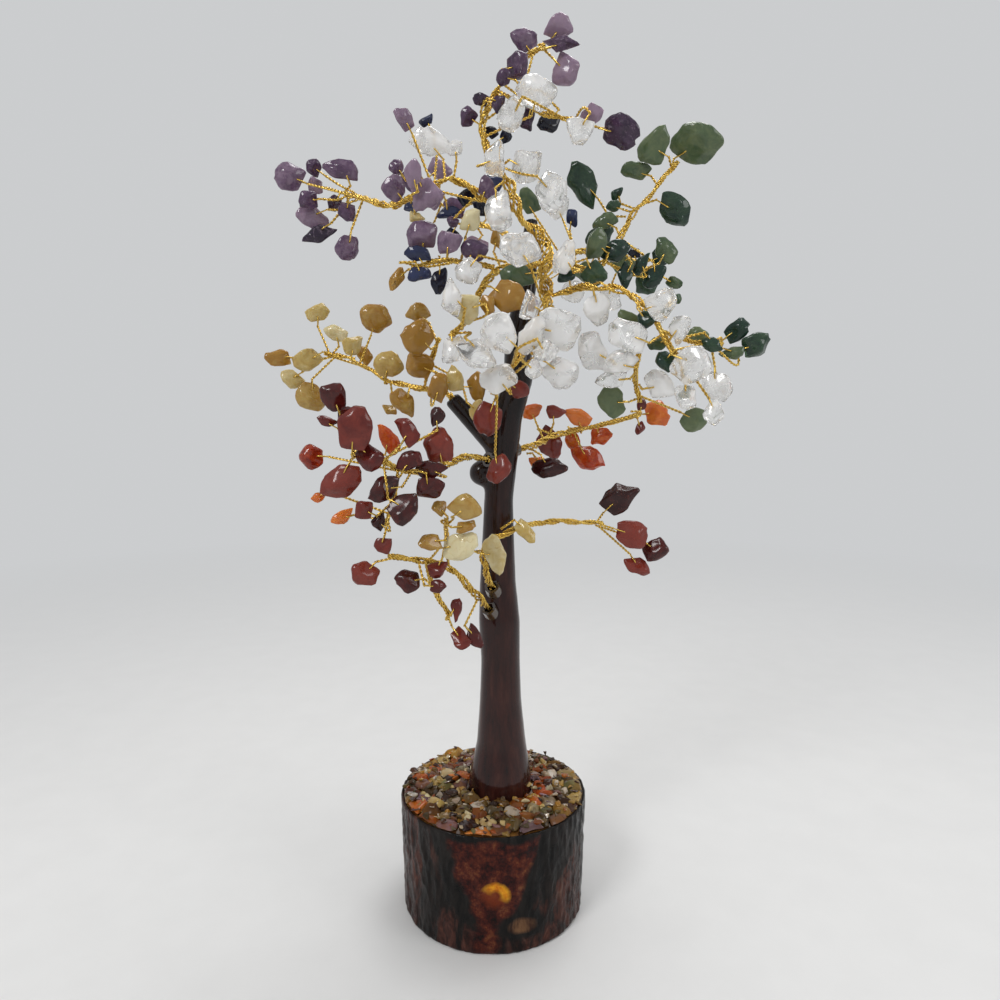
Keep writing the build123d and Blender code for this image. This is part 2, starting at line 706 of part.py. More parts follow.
def make_chip(bough, kind, row, depth_share, stem_pixels, draw):
    """A chip with its corners, its hole and its wire loop, all measured from its own middle."""
    across, down, length, width, tilt = row[:5]
    place, pixel = sight_point(across, down, depth_share)
    toward = -unit(sight_ray(across, down))
    aside = unit(np.cross(UP, toward))
    rise = np.cross(toward, aside)
    lean = draw.uniform(-CHIP_LEAN_SHARE, CHIP_LEAN_SHARE, 2)
    face = unit(toward + lean[0] * aside + lean[1] * rise)
    aside = unit(aside - face * (aside @ face))
    rise = np.cross(face, aside)
    offsets = stem_pixels - np.array([across, down])
    nearest = offsets[np.argmin((offsets ** 2).sum(axis=1))]
    exit_turn = math.atan2(-nearest[1], nearest[0]) + draw.uniform(-EXIT_TURN_SPREAD, EXIT_TURN_SPREAD)
    thickness = CHIP_THICKNESS_SHARE * width * pixel
    thickness = min(max(thickness, CHIP_LEAST_THICKNESS), CHIP_MOST_THICKNESS)
    belt, ridges, edge_middle, outward = chip_corners(
        length * pixel / 2, width * pixel / 2, thickness, math.radians(tilt), exit_turn, draw)
    ridge_front, ridge_back = ridges[:2].mean(axis=0), ridges[2:].mean(axis=0)
    nearer_ridge = max(ridge_front @ outward, ridge_back @ outward)
    edge_reach = edge_middle @ outward
    hole = outward * (edge_reach + HOLE_INWARD_SHARE * (nearer_ridge - edge_reach))
    tie = edge_middle + outward * LOOP_REACH
    stand_off = LOOP_STAND_OFF_SHARE * (WIRE_RADIUS + HOLE_CLEARANCE)
    ends_apart = UP * (WIRE_RADIUS + TWIG_GAP)
    front = hole + UP * (facet_height(edge_middle, outward, ridge_front, hole) + stand_off)
    behind = hole + UP * (facet_height(edge_middle, outward, ridge_back, hole) - stand_off)
    loop = np.array([tie + ends_apart, front, behind, tie - ends_apart])
    frame = np.stack([aside, rise, face])
    return {
        "bough": bough, "kind": kind, "row": row, "place": place, "sight": -toward,
        "corners": np.vstack([belt, ridges]) @ frame, "loop": loop @ frame, "hole": hole @ frame,
        "tie": tie @ frame, "exit": outward @ frame, "face": face,
    }


def make_chips():
    chips = []
    for bough, table in BOUGHS.items():
        stem_rows = [row for rows in table["stems"] for row in dense_rows(rows)]
        stem_pixels = np.array([row[:2] for row in stem_rows])
        for kind, (layer, rows) in table["chips"].items():
            for row in rows:
                near = np.argmin(((stem_pixels - np.array(row[:2])) ** 2).sum(axis=1))
                draw = np.random.default_rng([SEED, row[0], row[1]])
                spread = draw.uniform(-DEPTH_SPREAD_SHARE, DEPTH_SPREAD_SHARE)
                depth = stem_rows[near][2] + layer + spread + sum(row[5:])
                chip = make_chip(bough, kind, row, depth, stem_pixels, draw)
                chip["layer"] = layer
                chips.append(chip)
    return chips


def dense_rows(rows):
    """Rows of a stem with more points between."""
    dense = []
    for first, last in zip(rows, rows[1:]):
        for k in range(STEM_ROW_STEPS):
            dense.append(tuple(a + (b - a) * k / STEM_ROW_STEPS for a, b in zip(first, last)))
    return dense + [rows[-1]]


def body_of(chip):
    return np.vstack([chip["corners"], chip["loop"]])


def settle(chips, fixed):
    """Slide chips along their own sight lines until none meets another, a stem or the trunk."""
    low = np.zeros((len(chips), DIRECTION_COUNT))
    high = np.zeros_like(low)
    along = np.zeros_like(low)
    for k, chip in enumerate(chips):
        low[k], high[k] = spans(body_of(chip) + chip["place"], WIRE_RADIUS)
        along[k] = DIRECTIONS @ chip["sight"]
    depth = np.array([chip["place"][1] for chip in chips])
    fixed_depth = (fixed.low + fixed.high) / 2 @ np.linalg.pinv(DIRECTIONS).T
    shift = np.zeros(len(chips))
    first, second = np.triu_indices(len(chips), 1)
    places = np.array([chip["place"] for chip in chips])
    flat_apart = np.hypot(*(places[first] - places[second])[:, [0, 2]].T)
    reach = np.array([np.linalg.norm(body_of(chip), axis=1).max() for chip in chips])
    near = flat_apart < (reach[first] + reach[second]) * NEAR_REACH_SHARE
    first, second = first[near], second[near]
    order = np.where(depth[first] > depth[second], 1.0, -1.0)
    boughs = np.array([chip["bough"] for chip in chips])
    owners = np.array(fixed.owners)
    wanted = np.where(boughs[first] == boughs[second], CHIP_GAP, BOUGH_GAP)
    sides = {}
    for step in range(SETTLE_STEPS):
        now_low = low + shift[:, None] * along
        now_high = high + shift[:, None] * along
        apart = np.maximum(now_low[first] - now_high[second], now_low[second] - now_high[first])
        gap = apart.max(axis=1)
        short = np.clip(wanted - gap, 0, None) * SETTLE_RATE
        move = np.zeros(len(chips))
        np.add.at(move, first, short * order)
        np.add.at(move, second, -short * order)
        worst = (wanted / 2 - gap).max()
        for k, chip in enumerate(chips):
            clear = gaps(now_low[k], now_high[k], fixed.low, fixed.high)
            host_wanted = np.where(owners == chip["bough"], CHIP_GAP, BOUGH_GAP)
            close = np.nonzero(clear < host_wanted)[0]
            for owner in sorted(set(owners[close])):
                met = close[owners[close] == owner]
                lack = (host_wanted[met] - clear[met]).max()
                behind = depth[k] + shift[k] > fixed_depth[met, 1].mean() + CHIP_GAP
                if owner == chip["bough"]:
                    behind = chip["layer"] > BEHIND_SHARE
                side = sides.setdefault((k, owner), 1.0 if behind else -1.0)
                if step % SETTLE_TURN == SETTLE_TURN - 1:
                    side = 1.0 if depth[k] > BEHIND_SHARE * CROWN_REACH else -1.0
                    sides[k, owner] = side
                move[k] += side * lack * SETTLE_HOST_RATE
                worst = max(worst, (host_wanted[met] / 2 - clear[met]).max())
        if worst < 0:
            break
        shift += np.clip(move, -SETTLE_STRIDE, SETTLE_STRIDE)
    for k, chip in enumerate(chips):
        chip["place"] = chip["place"] + shift[k] * chip["sight"]
    print("settled in", step + 1, "steps, shortest gap between chips", round(gap.min(), 3))


def glue_radius(root):
    return min(GLUE_RADIUS, GLUE_GIRTH_SHARE * root["host_radius"])


# Twigs

def twig_roots(stem, place):
    """Points along a bough's stems, nearest first: axis point, run direction, run radius, run body."""
    roots = stem["roots"]
    apart = [np.linalg.norm(root[0] - place) for root in roots]
    return [roots[k] for k in np.argsort(apart)]


def twig_knees(chip, start):
    """Places where a twig may bend on its way, the straight way first."""
    side = np.cross(chip["face"], chip["exit"])
    knees = []
    for out in KNEE_OUT_SHARES:
        for forward in KNEE_FORWARD_SHARES:
            for aside in KNEE_ASIDE_SHARES:
                bend = chip["exit"] * out + chip["face"] * forward + side * aside
                knees.append(start + bend * KNEE_REACH)
    return knees


def route_twig(chip, index, stem, bodies):
    """Clear way for a chip's twig to a stem, well away from other boughs if there is one."""
    for further in (BOUGH_TWIG_GAP, BOUGH_TWIG_GAP / 2, 0.0):
        path = clear_twig(chip, index, stem, bodies, further)
        if path is not None:
            return path
    print("no clear twig for", chip["bough"], chip["kind"], chip["row"])
    return None


def clear_twig(chip, index, stem, bodies, further):
    """Shortest clear way for a twig to a stem of its bough, straight or with one knee."""
    start = chip["place"] + chip["tie"] + chip["exit"] * TIE_GAP
    best = None
    for host, run, radius, body in twig_roots(stem, start)[:NEAREST_ROOTS]:
        path = twig_path(start, None, host, run, radius)
        length = np.linalg.norm(path[1] - path[0])
        backward = (path[1] - path[0]) @ chip["exit"] < TWIG_LEAVE_SHARE * length
        if backward or (best is not None and length > best[0]):
            continue
        if bodies.gap(path, TWIG_RADIUS, (index, body), chip["bough"], further) > TWIG_GAP:
            best = (length, path)
    if best is not None:
        return best[1]
    for knee in twig_knees(chip, start):
        if bodies.gap([start, knee], TWIG_RADIUS, (index,), chip["bough"], further) < TWIG_GAP:
            continue
        for host, run, radius, body in twig_roots(stem, knee)[:NEAREST_KNEE_ROOTS]:
            path = twig_path(start, knee, host, run, radius)
            length = np.linalg.norm(path[1] - path[0]) + np.linalg.norm(path[2] - path[1])
            if best is not None and length > best[0]:
                continue
            clear = bodies.gap(path[1:], TWIG_RADIUS, (index, body), chip["bough"], further)
            if clear > TWIG_GAP:
                best = (length, path)
    return None if best is None else best[1]


def twig_path(start, knee, host, run, radius):
    last = start if knee is None else knee
    outward = last - host
    outward = unit(outward - run * (outward @ run))
    end = host + outward * (radius + TWIG_RADIUS + TWIG_GAP)
    return [start, end] if knee is None else [start, knee, end]


def lay_crown():
    """All places of the crown: mast, stems, settled chips and twigs."""
    mast = lay_mast()
    stems = lay_stems(mast)
    fixed = Bodies()
    stations = trunk_stations()
    grown = 1 / math.cos(math.pi / TRUNK_SIDES)
    for (low, low_radius), (high, high_radius) in zip(stations, stations[1:]):
        foot = ring_of(low, UP, low_radius * grown, TRUNK_SIDES)
        head = ring_of(high, UP, high_radius * grown, TRUNK_SIDES)
        fixed.add(foot + head, 0.0, "trunk")
    (fork_base, fork_radius), (fork_tip, _) = fork_stations()
    fixed.add([fork_base, fork_tip], fork_radius, "trunk")
    for k, radius in enumerate(mast["radii"]):
        fixed.add(mast["line"][k:k + 2], radius, "mast")
    for name, stem in stems.items():
        if stem["root"] is not None:
            root = stem["root"]
            fixed.add([root["mouth"], root["proud"]], glue_radius(root), "root")
        stem["roots"] = []
        for line, radii in zip(stem["lines"], stem["radii"]):
            for k, radius in enumerate(radii):
                run = line[k + 1] - line[k]
                for share in TWIG_ROOT_SHARES:
                    stem["roots"].append((line[k] + share * run, unit(run), radius, len(fixed.owners)))
                fixed.add(line[k:k + 2], radius, name)
    chips = make_chips()
    settle(chips, fixed)
    bodies = fixed
    chip_bodies = len(fixed.owners)
    for chip in chips:
        bodies.add(body_of(chip) + chip["place"], WIRE_RADIUS, chip["bough"])
    order = sorted(range(len(chips)), key=lambda k: np.linalg.norm(
        twig_roots(stems[chips[k]["bough"]], chips[k]["place"])[0][0] - chips[k]["place"]))
    for index in order:
        chip = chips[index]
        chip["twig"] = route_twig(chip, chip_bodies + index, stems[chip["bough"]], bodies)
        if chip["twig"] is None:
            continue
        for a, b in zip(chip["twig"], chip["twig"][1:]):
            bodies.add([a, b], TWIG_RADIUS, chip["bough"])
    return mast, stems, chips


# Solids with plane faces

def ring_of(middle, direction, radius, sides):
    guide = UP if abs(direction[2]) < STEEP_SHARE else np.array([1.0, 0.0, 0.0])
    first = unit(np.cross(direction, guide))
    second = np.cross(direction, first)
    turns = [2 * math.pi * k / sides for k in range(sides)]
    return [middle + radius * (math.cos(turn) * first + math.sin(turn) * second) for turn in turns]


def prism_corners(start, end, radius, sides):
    way = unit(end - start)
    return ring_of(start, way, radius, sides) + ring_of(end, way, radius, sides)


def onto_plane(ring, direction, point, normal):
    return [corner + direction * (((point - corner) @ normal) / (direction @ normal)) for corner in ring]


def flat_face(corners):
    return Face(Wire.make_polygon([Vector(*corner) for corner in corners]))


def solid_through(rings):
    """Solid with plane sides through a row of corner rings, closed at both ends."""
    faces = [flat_face(rings[0]), flat_face(rings[-1])]
    for near, far in zip(rings, rings[1:]):
        for k in range(len(near)):
            faces.append(flat_face([near[k - 1], near[k], far[k], far[k - 1]]))
    return Solid(Shell(faces))


def mitres(line):
    """Unit normals of the end and mitre planes of a bent line."""
    ways = [unit(b - a) for a, b in zip(line, line[1:])]
    middles = [unit(a + b) for a, b in zip(ways, ways[1:])]
    return ways, [ways[0]] + middles + [ways[-1]]


def straight_runs(line, radii, sides):
    """One straight prism for each run of a bent bundle.

    Runs are mitred where they meet, and square where the bend is too sharp for that.
    """
    ways, normals = mitres(line)
    solids = []
    for k, radius in enumerate(radii):
        length = np.linalg.norm(line[k + 1] - line[k])
        ring = ring_of((line[k] + line[k + 1]) / 2, ways[k], radius, sides)
        ends = []
        for e in (0, 1):
            normal = normals[k + e]
            slope = math.tan(math.acos(min(normal @ ways[k], 1.0)))
            if radius * slope > MITRE_SHARE * length:
                normal = ways[k]
            ends.append(onto_plane(ring, ways[k], line[k + e], normal))
        solids.append(solid_through(ends))
    return solids


def bent_wire(line, radius, sides):
    """One wire bent through a row of points."""
    ways, normals = mitres(line)
    rings = [ring_of(line[0], ways[0], radius, sides)]
    for k, way in enumerate(ways):
        rings.append(onto_plane(rings[-1], way, line[k + 1], normals[k + 1]))
    return solid_through(rings)


def hull_of(corners):
    return ConvexPolyhedron([tuple(corner) for corner in corners])


def drilled_chip(chip):
    stone = hull_of(chip["corners"] + chip["place"])
    plane = Plane(
        origin=tuple(chip["place"] + chip["hole"]), x_dir=tuple(chip["exit"]), z_dir=tuple(chip["face"]))
    drill = plane * Box(2 * HOLE_HALF_WIDTH, 2 * HOLE_HALF_WIDTH, CUT_OVERRUN)
    return stone - drill


# Base, bed and trunk

def standing(radius, foot, top, aside=0.0):
    return Pos(aside, 0, (foot + top) / 2) * Cylinder(radius, top - foot)


def make_base():
    log = Pos(0, 0, BASE_HEIGHT / 2) * Cone(BASE_FOOT_RADIUS, BASE_TOP_RADIUS, BASE_HEIGHT)
    rims = log.edges().sort_by(Axis.Z)
    log = fillet(rims[-1], BASE_TOP_ROUND)
    log = fillet(log.edges().sort_by(Axis.Z)[0], BASE_FOOT_ROUND)
    log -= standing(DISH_RADIUS, DISH_FLOOR, BASE_HEIGHT + CUT_OVERRUN)
    bore_foot = DISH_FLOOR - PEG_LENGTH - PEG_END_ROOM
    return log - standing(PEG_RADIUS + FIT_CLEARANCE, bore_foot, BASE_HEIGHT, TRUNK_FOOT_ASIDE)


def resin_top(radius):
    return BASE_HEIGHT - BASE_TOP_ROUND / 2 + RESIN_CROWN * (1 - radius / DISH_RADIUS)


def make_resin():
    edge = DISH_RADIUS - FIT_CLEARANCE
    corners = [(0, DISH_FLOOR), (edge, DISH_FLOOR), (edge, resin_top(edge)), (0, resin_top(0))]
    disc = revolve(Plane.XZ * make_face(Polyline(corners, close=True)), Axis.Z)
    top = BASE_HEIGHT + CUT_OVERRUN
    return disc - standing(TRUNK_FOOT_RADIUS + FIT_CLEARANCE, 0, top, TRUNK_FOOT_ASIDE)


def clipped(corners, place, outward):
    """The part of a convex outline that lies on the inner side of a line through a place."""
    kept = []
    for near, far in zip(corners, corners[1:] + corners[:1]):
        near_out = (near - place) @ outward
        far_out = (far - place) @ outward
        if near_out <= 0:
            kept.append(near)
        if near_out * far_out < 0:
            kept.append(near + (far - near) * near_out / (near_out - far_out))
    return kept


def bed_cell(place, others, turn):
    """The outline that a chip has between its neighbours, the dish's rim and the trunk's foot."""
    flat = np.array([*place, 0.0])
    corners = [corner[:2] for corner in ring_of(flat, UP, BED_CHIP_REACH, BED_CHIP_SIDES)]
    corners = [place + turned(corner - place, turn) for corner in corners]
    for other in others:
        outward = unit(other - place)
        corners = clipped(corners, (place + other - outward * BED_CHIP_GAP) / 2, outward)
    rim = unit(place)
    corners = clipped(corners, rim * (DISH_RADIUS - BED_CHIP_GAP), rim)
    foot = np.array([TRUNK_FOOT_ASIDE, 0.0])
    inward = unit(foot - place)
    return clipped(corners, foot - inward * (TRUNK_FOOT_RADIUS + BED_CHIP_GAP), inward)


def turned(vector, turn):
    cosine, sine = math.cos(turn), math.sin(turn)
    return np.array([vector[0] * cosine - vector[1] * sine, vector[0] * sine + vector[1] * cosine])


def bed_places(draw):
    """Places of a sunflower pattern, each strayed a little, that the trunk's foot leaves free."""
    foot = np.array([TRUNK_FOOT_ASIDE, 0.0])
    step = DISH_RADIUS / math.sqrt(BED_CHIP_COUNT)
    places = []
    for k in range(BED_CHIP_COUNT):
        reach = step * math.sqrt(k + 0.5)
        stray = draw.uniform(-BED_STRAY_SHARE, BED_STRAY_SHARE, 2) * step
        place = reach * np.array([math.cos(k * GOLDEN_TURN), math.sin(k * GOLDEN_TURN)]) + stray
        room = min(
            np.linalg.norm(place - foot) - TRUNK_FOOT_RADIUS, DISH_RADIUS - np.linalg.norm(place))
        if room > BED_CHIP_LEAST_ROOM:
            places.append(place)
    return places


def make_bed_chips():
    """Small chips laid close on the resin, as wide as their neighbours allow."""
    draw = np.random.default_rng(SEED)
    places = bed_places(draw)
    beds = {kind: [] for kind in BED_KINDS}
    for k, place in enumerate(places):
        others = [other for i, other in enumerate(places) if i != k]
        cell = bed_cell(place, others, draw.uniform(0, math.pi))
        middle = sum(cell) / len(cell)
        foot_height = resin_top(min(np.linalg.norm(corner) for corner in cell)) + BED_CHIP_LIFT
        corners = [[*corner, foot_height] for corner in cell]
        height = BED_CHIP_HEIGHT * draw.uniform(*BED_HEIGHT_SHARES)
        for corner in cell:
            inner = middle + (corner - middle) * draw.uniform(*BED_CROWN_SHARES)
            corners.append([*inner, foot_height + height * draw.uniform(*BED_HEIGHT_SHARES)])
        kind = BED_KINDS[(k * BED_KIND_STEP + k // BED_KIND_ROW) % len(BED_KINDS)]
        beds[kind].append(hull_of(corners))
    return beds


def make_trunk(sockets):
    rings = [Pos(*axis) * Circle(radius) for axis, radius in trunk_stations()]
    trunk = loft(rings, ruled=True)
    (base, base_radius), (tip, tip_radius) = fork_stations()
    way = tuple(unit(tip - base))
    fork = loft([
        Plane(origin=tuple(base), z_dir=way) * Circle(base_radius),
        Plane(origin=tuple(tip), z_dir=way) * Circle(tip_radius)])
    aside, height, girth = KNOB_SHARES
    knob_place = Pos(aside * TRUNK_DIAMETER, 0, BASE_HEIGHT + height * TREE_HEIGHT)
    knob = knob_place * Sphere(girth * TRUNK_DIAMETER)
    peg_foot = DISH_FLOOR - PEG_LENGTH
    peg = standing(PEG_RADIUS, peg_foot, DISH_FLOOR + PEG_RADIUS, TRUNK_FOOT_ASIDE)
    trunk = trunk + fork + knob + peg
    for socket in sockets:
        trunk -= socket
    return trunk


def socket_of(sunk, mouth, radius):
    """The drilled hole that takes the end of a wire bundle."""
    way = unit(mouth - sunk)
    line = [sunk - way * FIT_CLEARANCE, mouth + way * CUT_OVERRUN / 2]
    return straight_runs(line, [radius + 2 * FIT_CLEARANCE], STEM_SIDES)[0]


def make_glue(root, trunk, socket):
    """A fillet of glue round the mouth of a socket."""
    way = unit(root["proud"] - root["mouth"])
    girth = glue_radius(root)
    length = GLUE_PROUD + root["host_radius"]
    middle = root["mouth"] + way * (GLUE_PROUD - length / 2)
    cone = Cone(girth * GLUE_FOOT_SHARE, girth * GLUE_TIP_SHARE, length)
    fillet_of_glue = Plane(origin=tuple(middle), z_dir=tuple(way)) * cone - trunk - socket
    return max(fillet_of_glue.solids(), key=lambda solid: solid.volume)


# The ornament

mast, stems, chips = lay_crown()
roots = {name: stem["root"] for name, stem in stems.items() if stem["root"] is not None}
sockets = {name: socket_of(root["sunk"], root["mouth"], root["radius"]) for name, root in roots.items()}
mast_socket = socket_of(mast["line"][0], mast["line"][1], MAST_ROOT_RADIUS)

nodes = {"log_base": [make_base()], "resin_bed": [make_resin()]}
for kind, stones in make_bed_chips().items():
    nodes["bed_" + kind] = stones
nodes["trunk"] = [make_trunk(list(sockets.values()) + [mast_socket])]
nodes["glue_plugs"] = [
    make_glue(root, nodes["trunk"][0], sockets[name])
    for name, root in roots.items() if BOUGHS[name]["root"][0] == "trunk"]
nodes["wire_roots"] = [
    straight_runs([root["sunk"], root["proud"]], [root["radius"]], STEM_SIDES)[0]
    for root in roots.values()]
nodes["mast"] = straight_runs(mast["line"], mast["radii"], STEM_SIDES)
for name, stem in stems.items():
    wires = []
    for line, radii in zip(stem["lines"], stem["radii"]):
        wires += straight_runs(line, radii, STEM_SIDES)
    for chip in chips:
        if chip["bough"] != name:
            continue
        if chip["twig"] is not None:
            girths = [TWIG_RADIUS] * (len(chip["twig"]) - 1)
            wires += straight_runs(chip["twig"], girths, WIRE_SIDES)
        wires.append(bent_wire(list(chip["loop"] + chip["place"]), WIRE_RADIUS, WIRE_SIDES))
        nodes.setdefault(name + "_" + chip["kind"], []).append(drilled_chip(chip))
    nodes[name + "_wire"] = wires

os.makedirs("parts", exist_ok=True)
for name, solids in nodes.items():
    export_step(Compound(children=solids), "parts/" + name + ".step")
print(len(nodes), "nodes,", sum(len(solids) for solids in nodes.values()), "pieces")
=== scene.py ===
import json
import math
import random

import bmesh
import bpy
import numpy as np
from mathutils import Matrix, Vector, noise
from mathutils.bvhtree import BVHTree


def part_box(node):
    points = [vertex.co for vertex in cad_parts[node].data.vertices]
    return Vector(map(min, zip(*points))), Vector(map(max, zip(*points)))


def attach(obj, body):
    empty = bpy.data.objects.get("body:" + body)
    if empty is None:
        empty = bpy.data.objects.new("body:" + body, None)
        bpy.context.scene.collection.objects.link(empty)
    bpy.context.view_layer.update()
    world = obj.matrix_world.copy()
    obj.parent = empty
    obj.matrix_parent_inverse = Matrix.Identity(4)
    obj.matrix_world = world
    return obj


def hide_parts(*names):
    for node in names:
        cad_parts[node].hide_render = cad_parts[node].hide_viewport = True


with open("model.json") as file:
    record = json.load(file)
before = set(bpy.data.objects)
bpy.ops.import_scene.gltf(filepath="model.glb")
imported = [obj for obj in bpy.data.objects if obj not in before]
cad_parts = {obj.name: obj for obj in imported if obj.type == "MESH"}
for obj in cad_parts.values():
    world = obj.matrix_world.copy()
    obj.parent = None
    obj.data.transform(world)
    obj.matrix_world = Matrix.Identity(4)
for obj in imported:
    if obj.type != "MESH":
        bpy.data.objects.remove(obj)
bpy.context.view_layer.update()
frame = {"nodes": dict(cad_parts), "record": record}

# Sizes in metres
MM = 0.001
WIRE_RADIUS = 0.21 * MM
TWIG_TWIST_RADIUS = 0.21 * MM
TWIG_PITCH = 2.6 * MM
TIE_TUCK = 0.3 * MM
TWIG_TUCK = 1.3 * MM
STEM_PITCH = 13.0 * MM
STEM_CORE_SHARE = 0.78
STEM_WANDER = 0.28
STEM_WANDER_LENGTH = 4.0 * MM
STEM_PAIR_RADIUS = 0.27 * MM
STEM_TUCK = 1.0 * MM
ROOT_TUCK = 2.0 * MM
STEM_GATHER_LENGTH = 5.0 * MM
STEM_GATHER_LEAST = 0.25
STEP_ALONG = 0.32 * MM
WIRE_SIDES = 5
MERGE_GAP = 0.001 * MM
JOIN_GAP = 0.02 * MM
FLAT_ANGLE = 0.01
STONE_EDGE_SHARE = 0.045
STONE_ROUGH = 0.5 * MM
STONE_ROUGH_SIZE = 3.2 * MM
STONE_PIT = 0.14 * MM
STONE_PIT_SIZE = 1.3 * MM
SMALL_CHIP_COUNT = 460
SMALL_CHIP_RADII = (0.9 * MM, 2.2 * MM)
SMALL_CHIP_LIFT = (-0.15, 0.3)
SMALL_CHIP_EDGE_ROOM = 1.2 * MM
SMALL_CHIP_CORNERS = 8
SMALL_CHIP_FLATNESS = 0.55
TRUNK_VOXEL = 0.7 * MM
TRUNK_DARK_HEIGHT = 160 * MM
BARK_VOXEL = 0.65 * MM
BARK_DEPTH = 0.75 * MM
BARK_SIZE = 3.4 * MM
BARK_STRETCH = 0.28
PATCH_TIP_HEIGHT = 7.5 * MM
PATCH_TOP_HEIGHT = 36 * MM
PATCH_HALF_WIDTH = 14 * MM
PATCH_ROUND = 0.45
PATCH_WOBBLE = 5 * MM
PATCH_FADE = 1.5 * MM
PATCH_BORDER = 7 * MM
KNOT_PLACE = (0.8 * MM, 19 * MM)
KNOT_REACH = 4.7 * MM
LOW_KNOT_PLACE = (8.5 * MM, 8.5 * MM)
LOW_KNOT_REACH = (8.5 * MM, 5.0 * MM)
LOW_PATCH_PLACE = (-2.0 * MM, 4.0 * MM)
LOW_PATCH_REACH = (5.5 * MM, 8.0 * MM)
FLOOR_FADE = (0.20, 0.75)
PALE_WALL = (0.60, 0.61, 0.62)
AMBER = (0.27, 0.105, 0.010)
BED_STEEP = 0.42

# The photo's camera: a picture 1000 pixels square
PICTURE_PIXELS = 1000
FOCAL_PIXELS = 752
SENSOR_WIDTH = 36
EYE = Vector((0.0022, -0.2334, 0.1593))
EYE_PITCH_DEGREES = 6.7

STONES = ("amethyst", "quartz", "green", "citrine", "carnelian", "jasper", "lapis")
SMALL_CHIP_KINDS = (0, 1, 1, 2, 3, 3, 3, 3, 3, 3, 4, 4, 5, 6)
BODY_OF = {node: body for body, nodes in frame["record"]["behaviour"]["bodies"].items() for node in nodes}


# Materials

class Shader:
    """A material with a principled shader and short calls for the nodes that feed it."""

    def __init__(self, name):
        self.material = bpy.data.materials.new(name)
        self.material.use_nodes = True
        self.tree = self.material.node_tree
        self.shader = self.tree.nodes["Principled BSDF"]

    def node(self, kind, **inputs):
        made = self.tree.nodes.new(kind)
        for key, value in inputs.items():
            self.put(made.inputs[key.replace("_", " ")], value)
        return made

    def put(self, socket, value):
        if isinstance(value, bpy.types.NodeSocket):
            self.tree.links.new(value, socket)
        elif isinstance(value, tuple) and len(value) == 3 and socket.type == "RGBA":
            socket.default_value = (*value, 1)
        else:
            socket.default_value = value

    def set(self, **inputs):
        for key, value in inputs.items():
            self.put(self.shader.inputs[key.replace("_", " ")], value)
        return self

    def position(self):
        return self.node("ShaderNodeNewGeometry").outputs["Position"]

    def noise(self, scale, detail=3.0, roughness=0.55, vector=None, distortion=0.0):
        made = self.node(
            "ShaderNodeTexNoise", Vector=vector or self.position(), Scale=scale, Detail=detail,
            Roughness=roughness, Distortion=distortion)
        return made.outputs["Fac"]

    def math(self, operation, first, second=0.0):
        made = self.tree.nodes.new("ShaderNodeMath")
        made.operation = operation
        self.put(made.inputs[0], first)
        self.put(made.inputs[1], second)
        return made.outputs[0]

    def ramp(self, value, *stops):
        made = self.node("ShaderNodeValToRGB", Fac=value)
        elements = made.color_ramp.elements
        while len(elements) < len(stops):
            elements.new(0.5)
        for element, (place, colour) in zip(elements, stops):
            element.position = place
            element.color = (*colour, 1)
        return made.outputs["Color"]

    def grey(self, value, *stops):
        return self.ramp(value, *[(place, (level, level, level)) for place, level in stops])

    def mix(self, share, first, second):
        made = self.tree.nodes.new("ShaderNodeMix")
        made.data_type = "RGBA"
        self.put(made.inputs["Factor"], share)
        self.put(made.inputs["A"], first)
        self.put(made.inputs["B"], second)
        return made.outputs["Result"]

    def bump(self, height, strength, distance):
        made = self.node("ShaderNodeBump", Height=height, Strength=strength, Distance=distance)
        return made.outputs["Normal"]

    def tone(self):
        """The random tone that each stone carries."""
        made = self.tree.nodes.new("ShaderNodeAttribute")
        made.attribute_name = "stone_tone"
        return made.outputs["Fac"]


def stone_material(name, dark, middle, pale, vein, roughness=0.15, transmission=0.0, subsurface=0.0, steep=0.0):
    """A polished stone: its own tone for each chip, clouds and veins inside, and amber resin over it or not."""
    made = Shader(name)
    clouds = made.noise(300, 4.0, 0.6, distortion=0.8)
    tone = made.math("ADD", made.tone(), made.math("MULTIPLY", made.math("SUBTRACT", clouds, 0.5), 0.9))
    colour = made.ramp(tone, (0.08, dark), (0.5, middle), (0.95, pale))
    veins = made.grey(made.noise(480, 5.0, 0.7, distortion=1.6), (0.56, 0.0), (0.7, 1.0))
    colour = made.mix(made.math("MULTIPLY", veins, 0.45), colour, vein)
    if steep:
        soak = made.grey(made.noise(150, 3.0), (0.3, 0.4 * steep), (0.7, 1.6 * steep))
        colour = made.mix(soak, colour, AMBER)
        shade = made.grey(made.math("FRACT", made.math("MULTIPLY", made.tone(), 7.0)), (0.15, 0.12), (0.50, 1.0))
        colour = made.mix(shade, (0.012, 0.005, 0.003), colour)
    made.set(
        Base_Color=colour, Roughness=roughness, IOR=1.54, Specular_IOR_Level=0.05 if steep else 0.22,
        Transmission_Weight=transmission, Subsurface_Weight=subsurface, Subsurface_Radius=(1.0, 0.8, 0.7),
        Subsurface_Scale=0.0012, Coat_Weight=0.2 if steep else 0.3, Coat_Roughness=0.05,
        Normal=made.bump(made.noise(420, 2.0), 0.12, 0.00025))
    return made.material


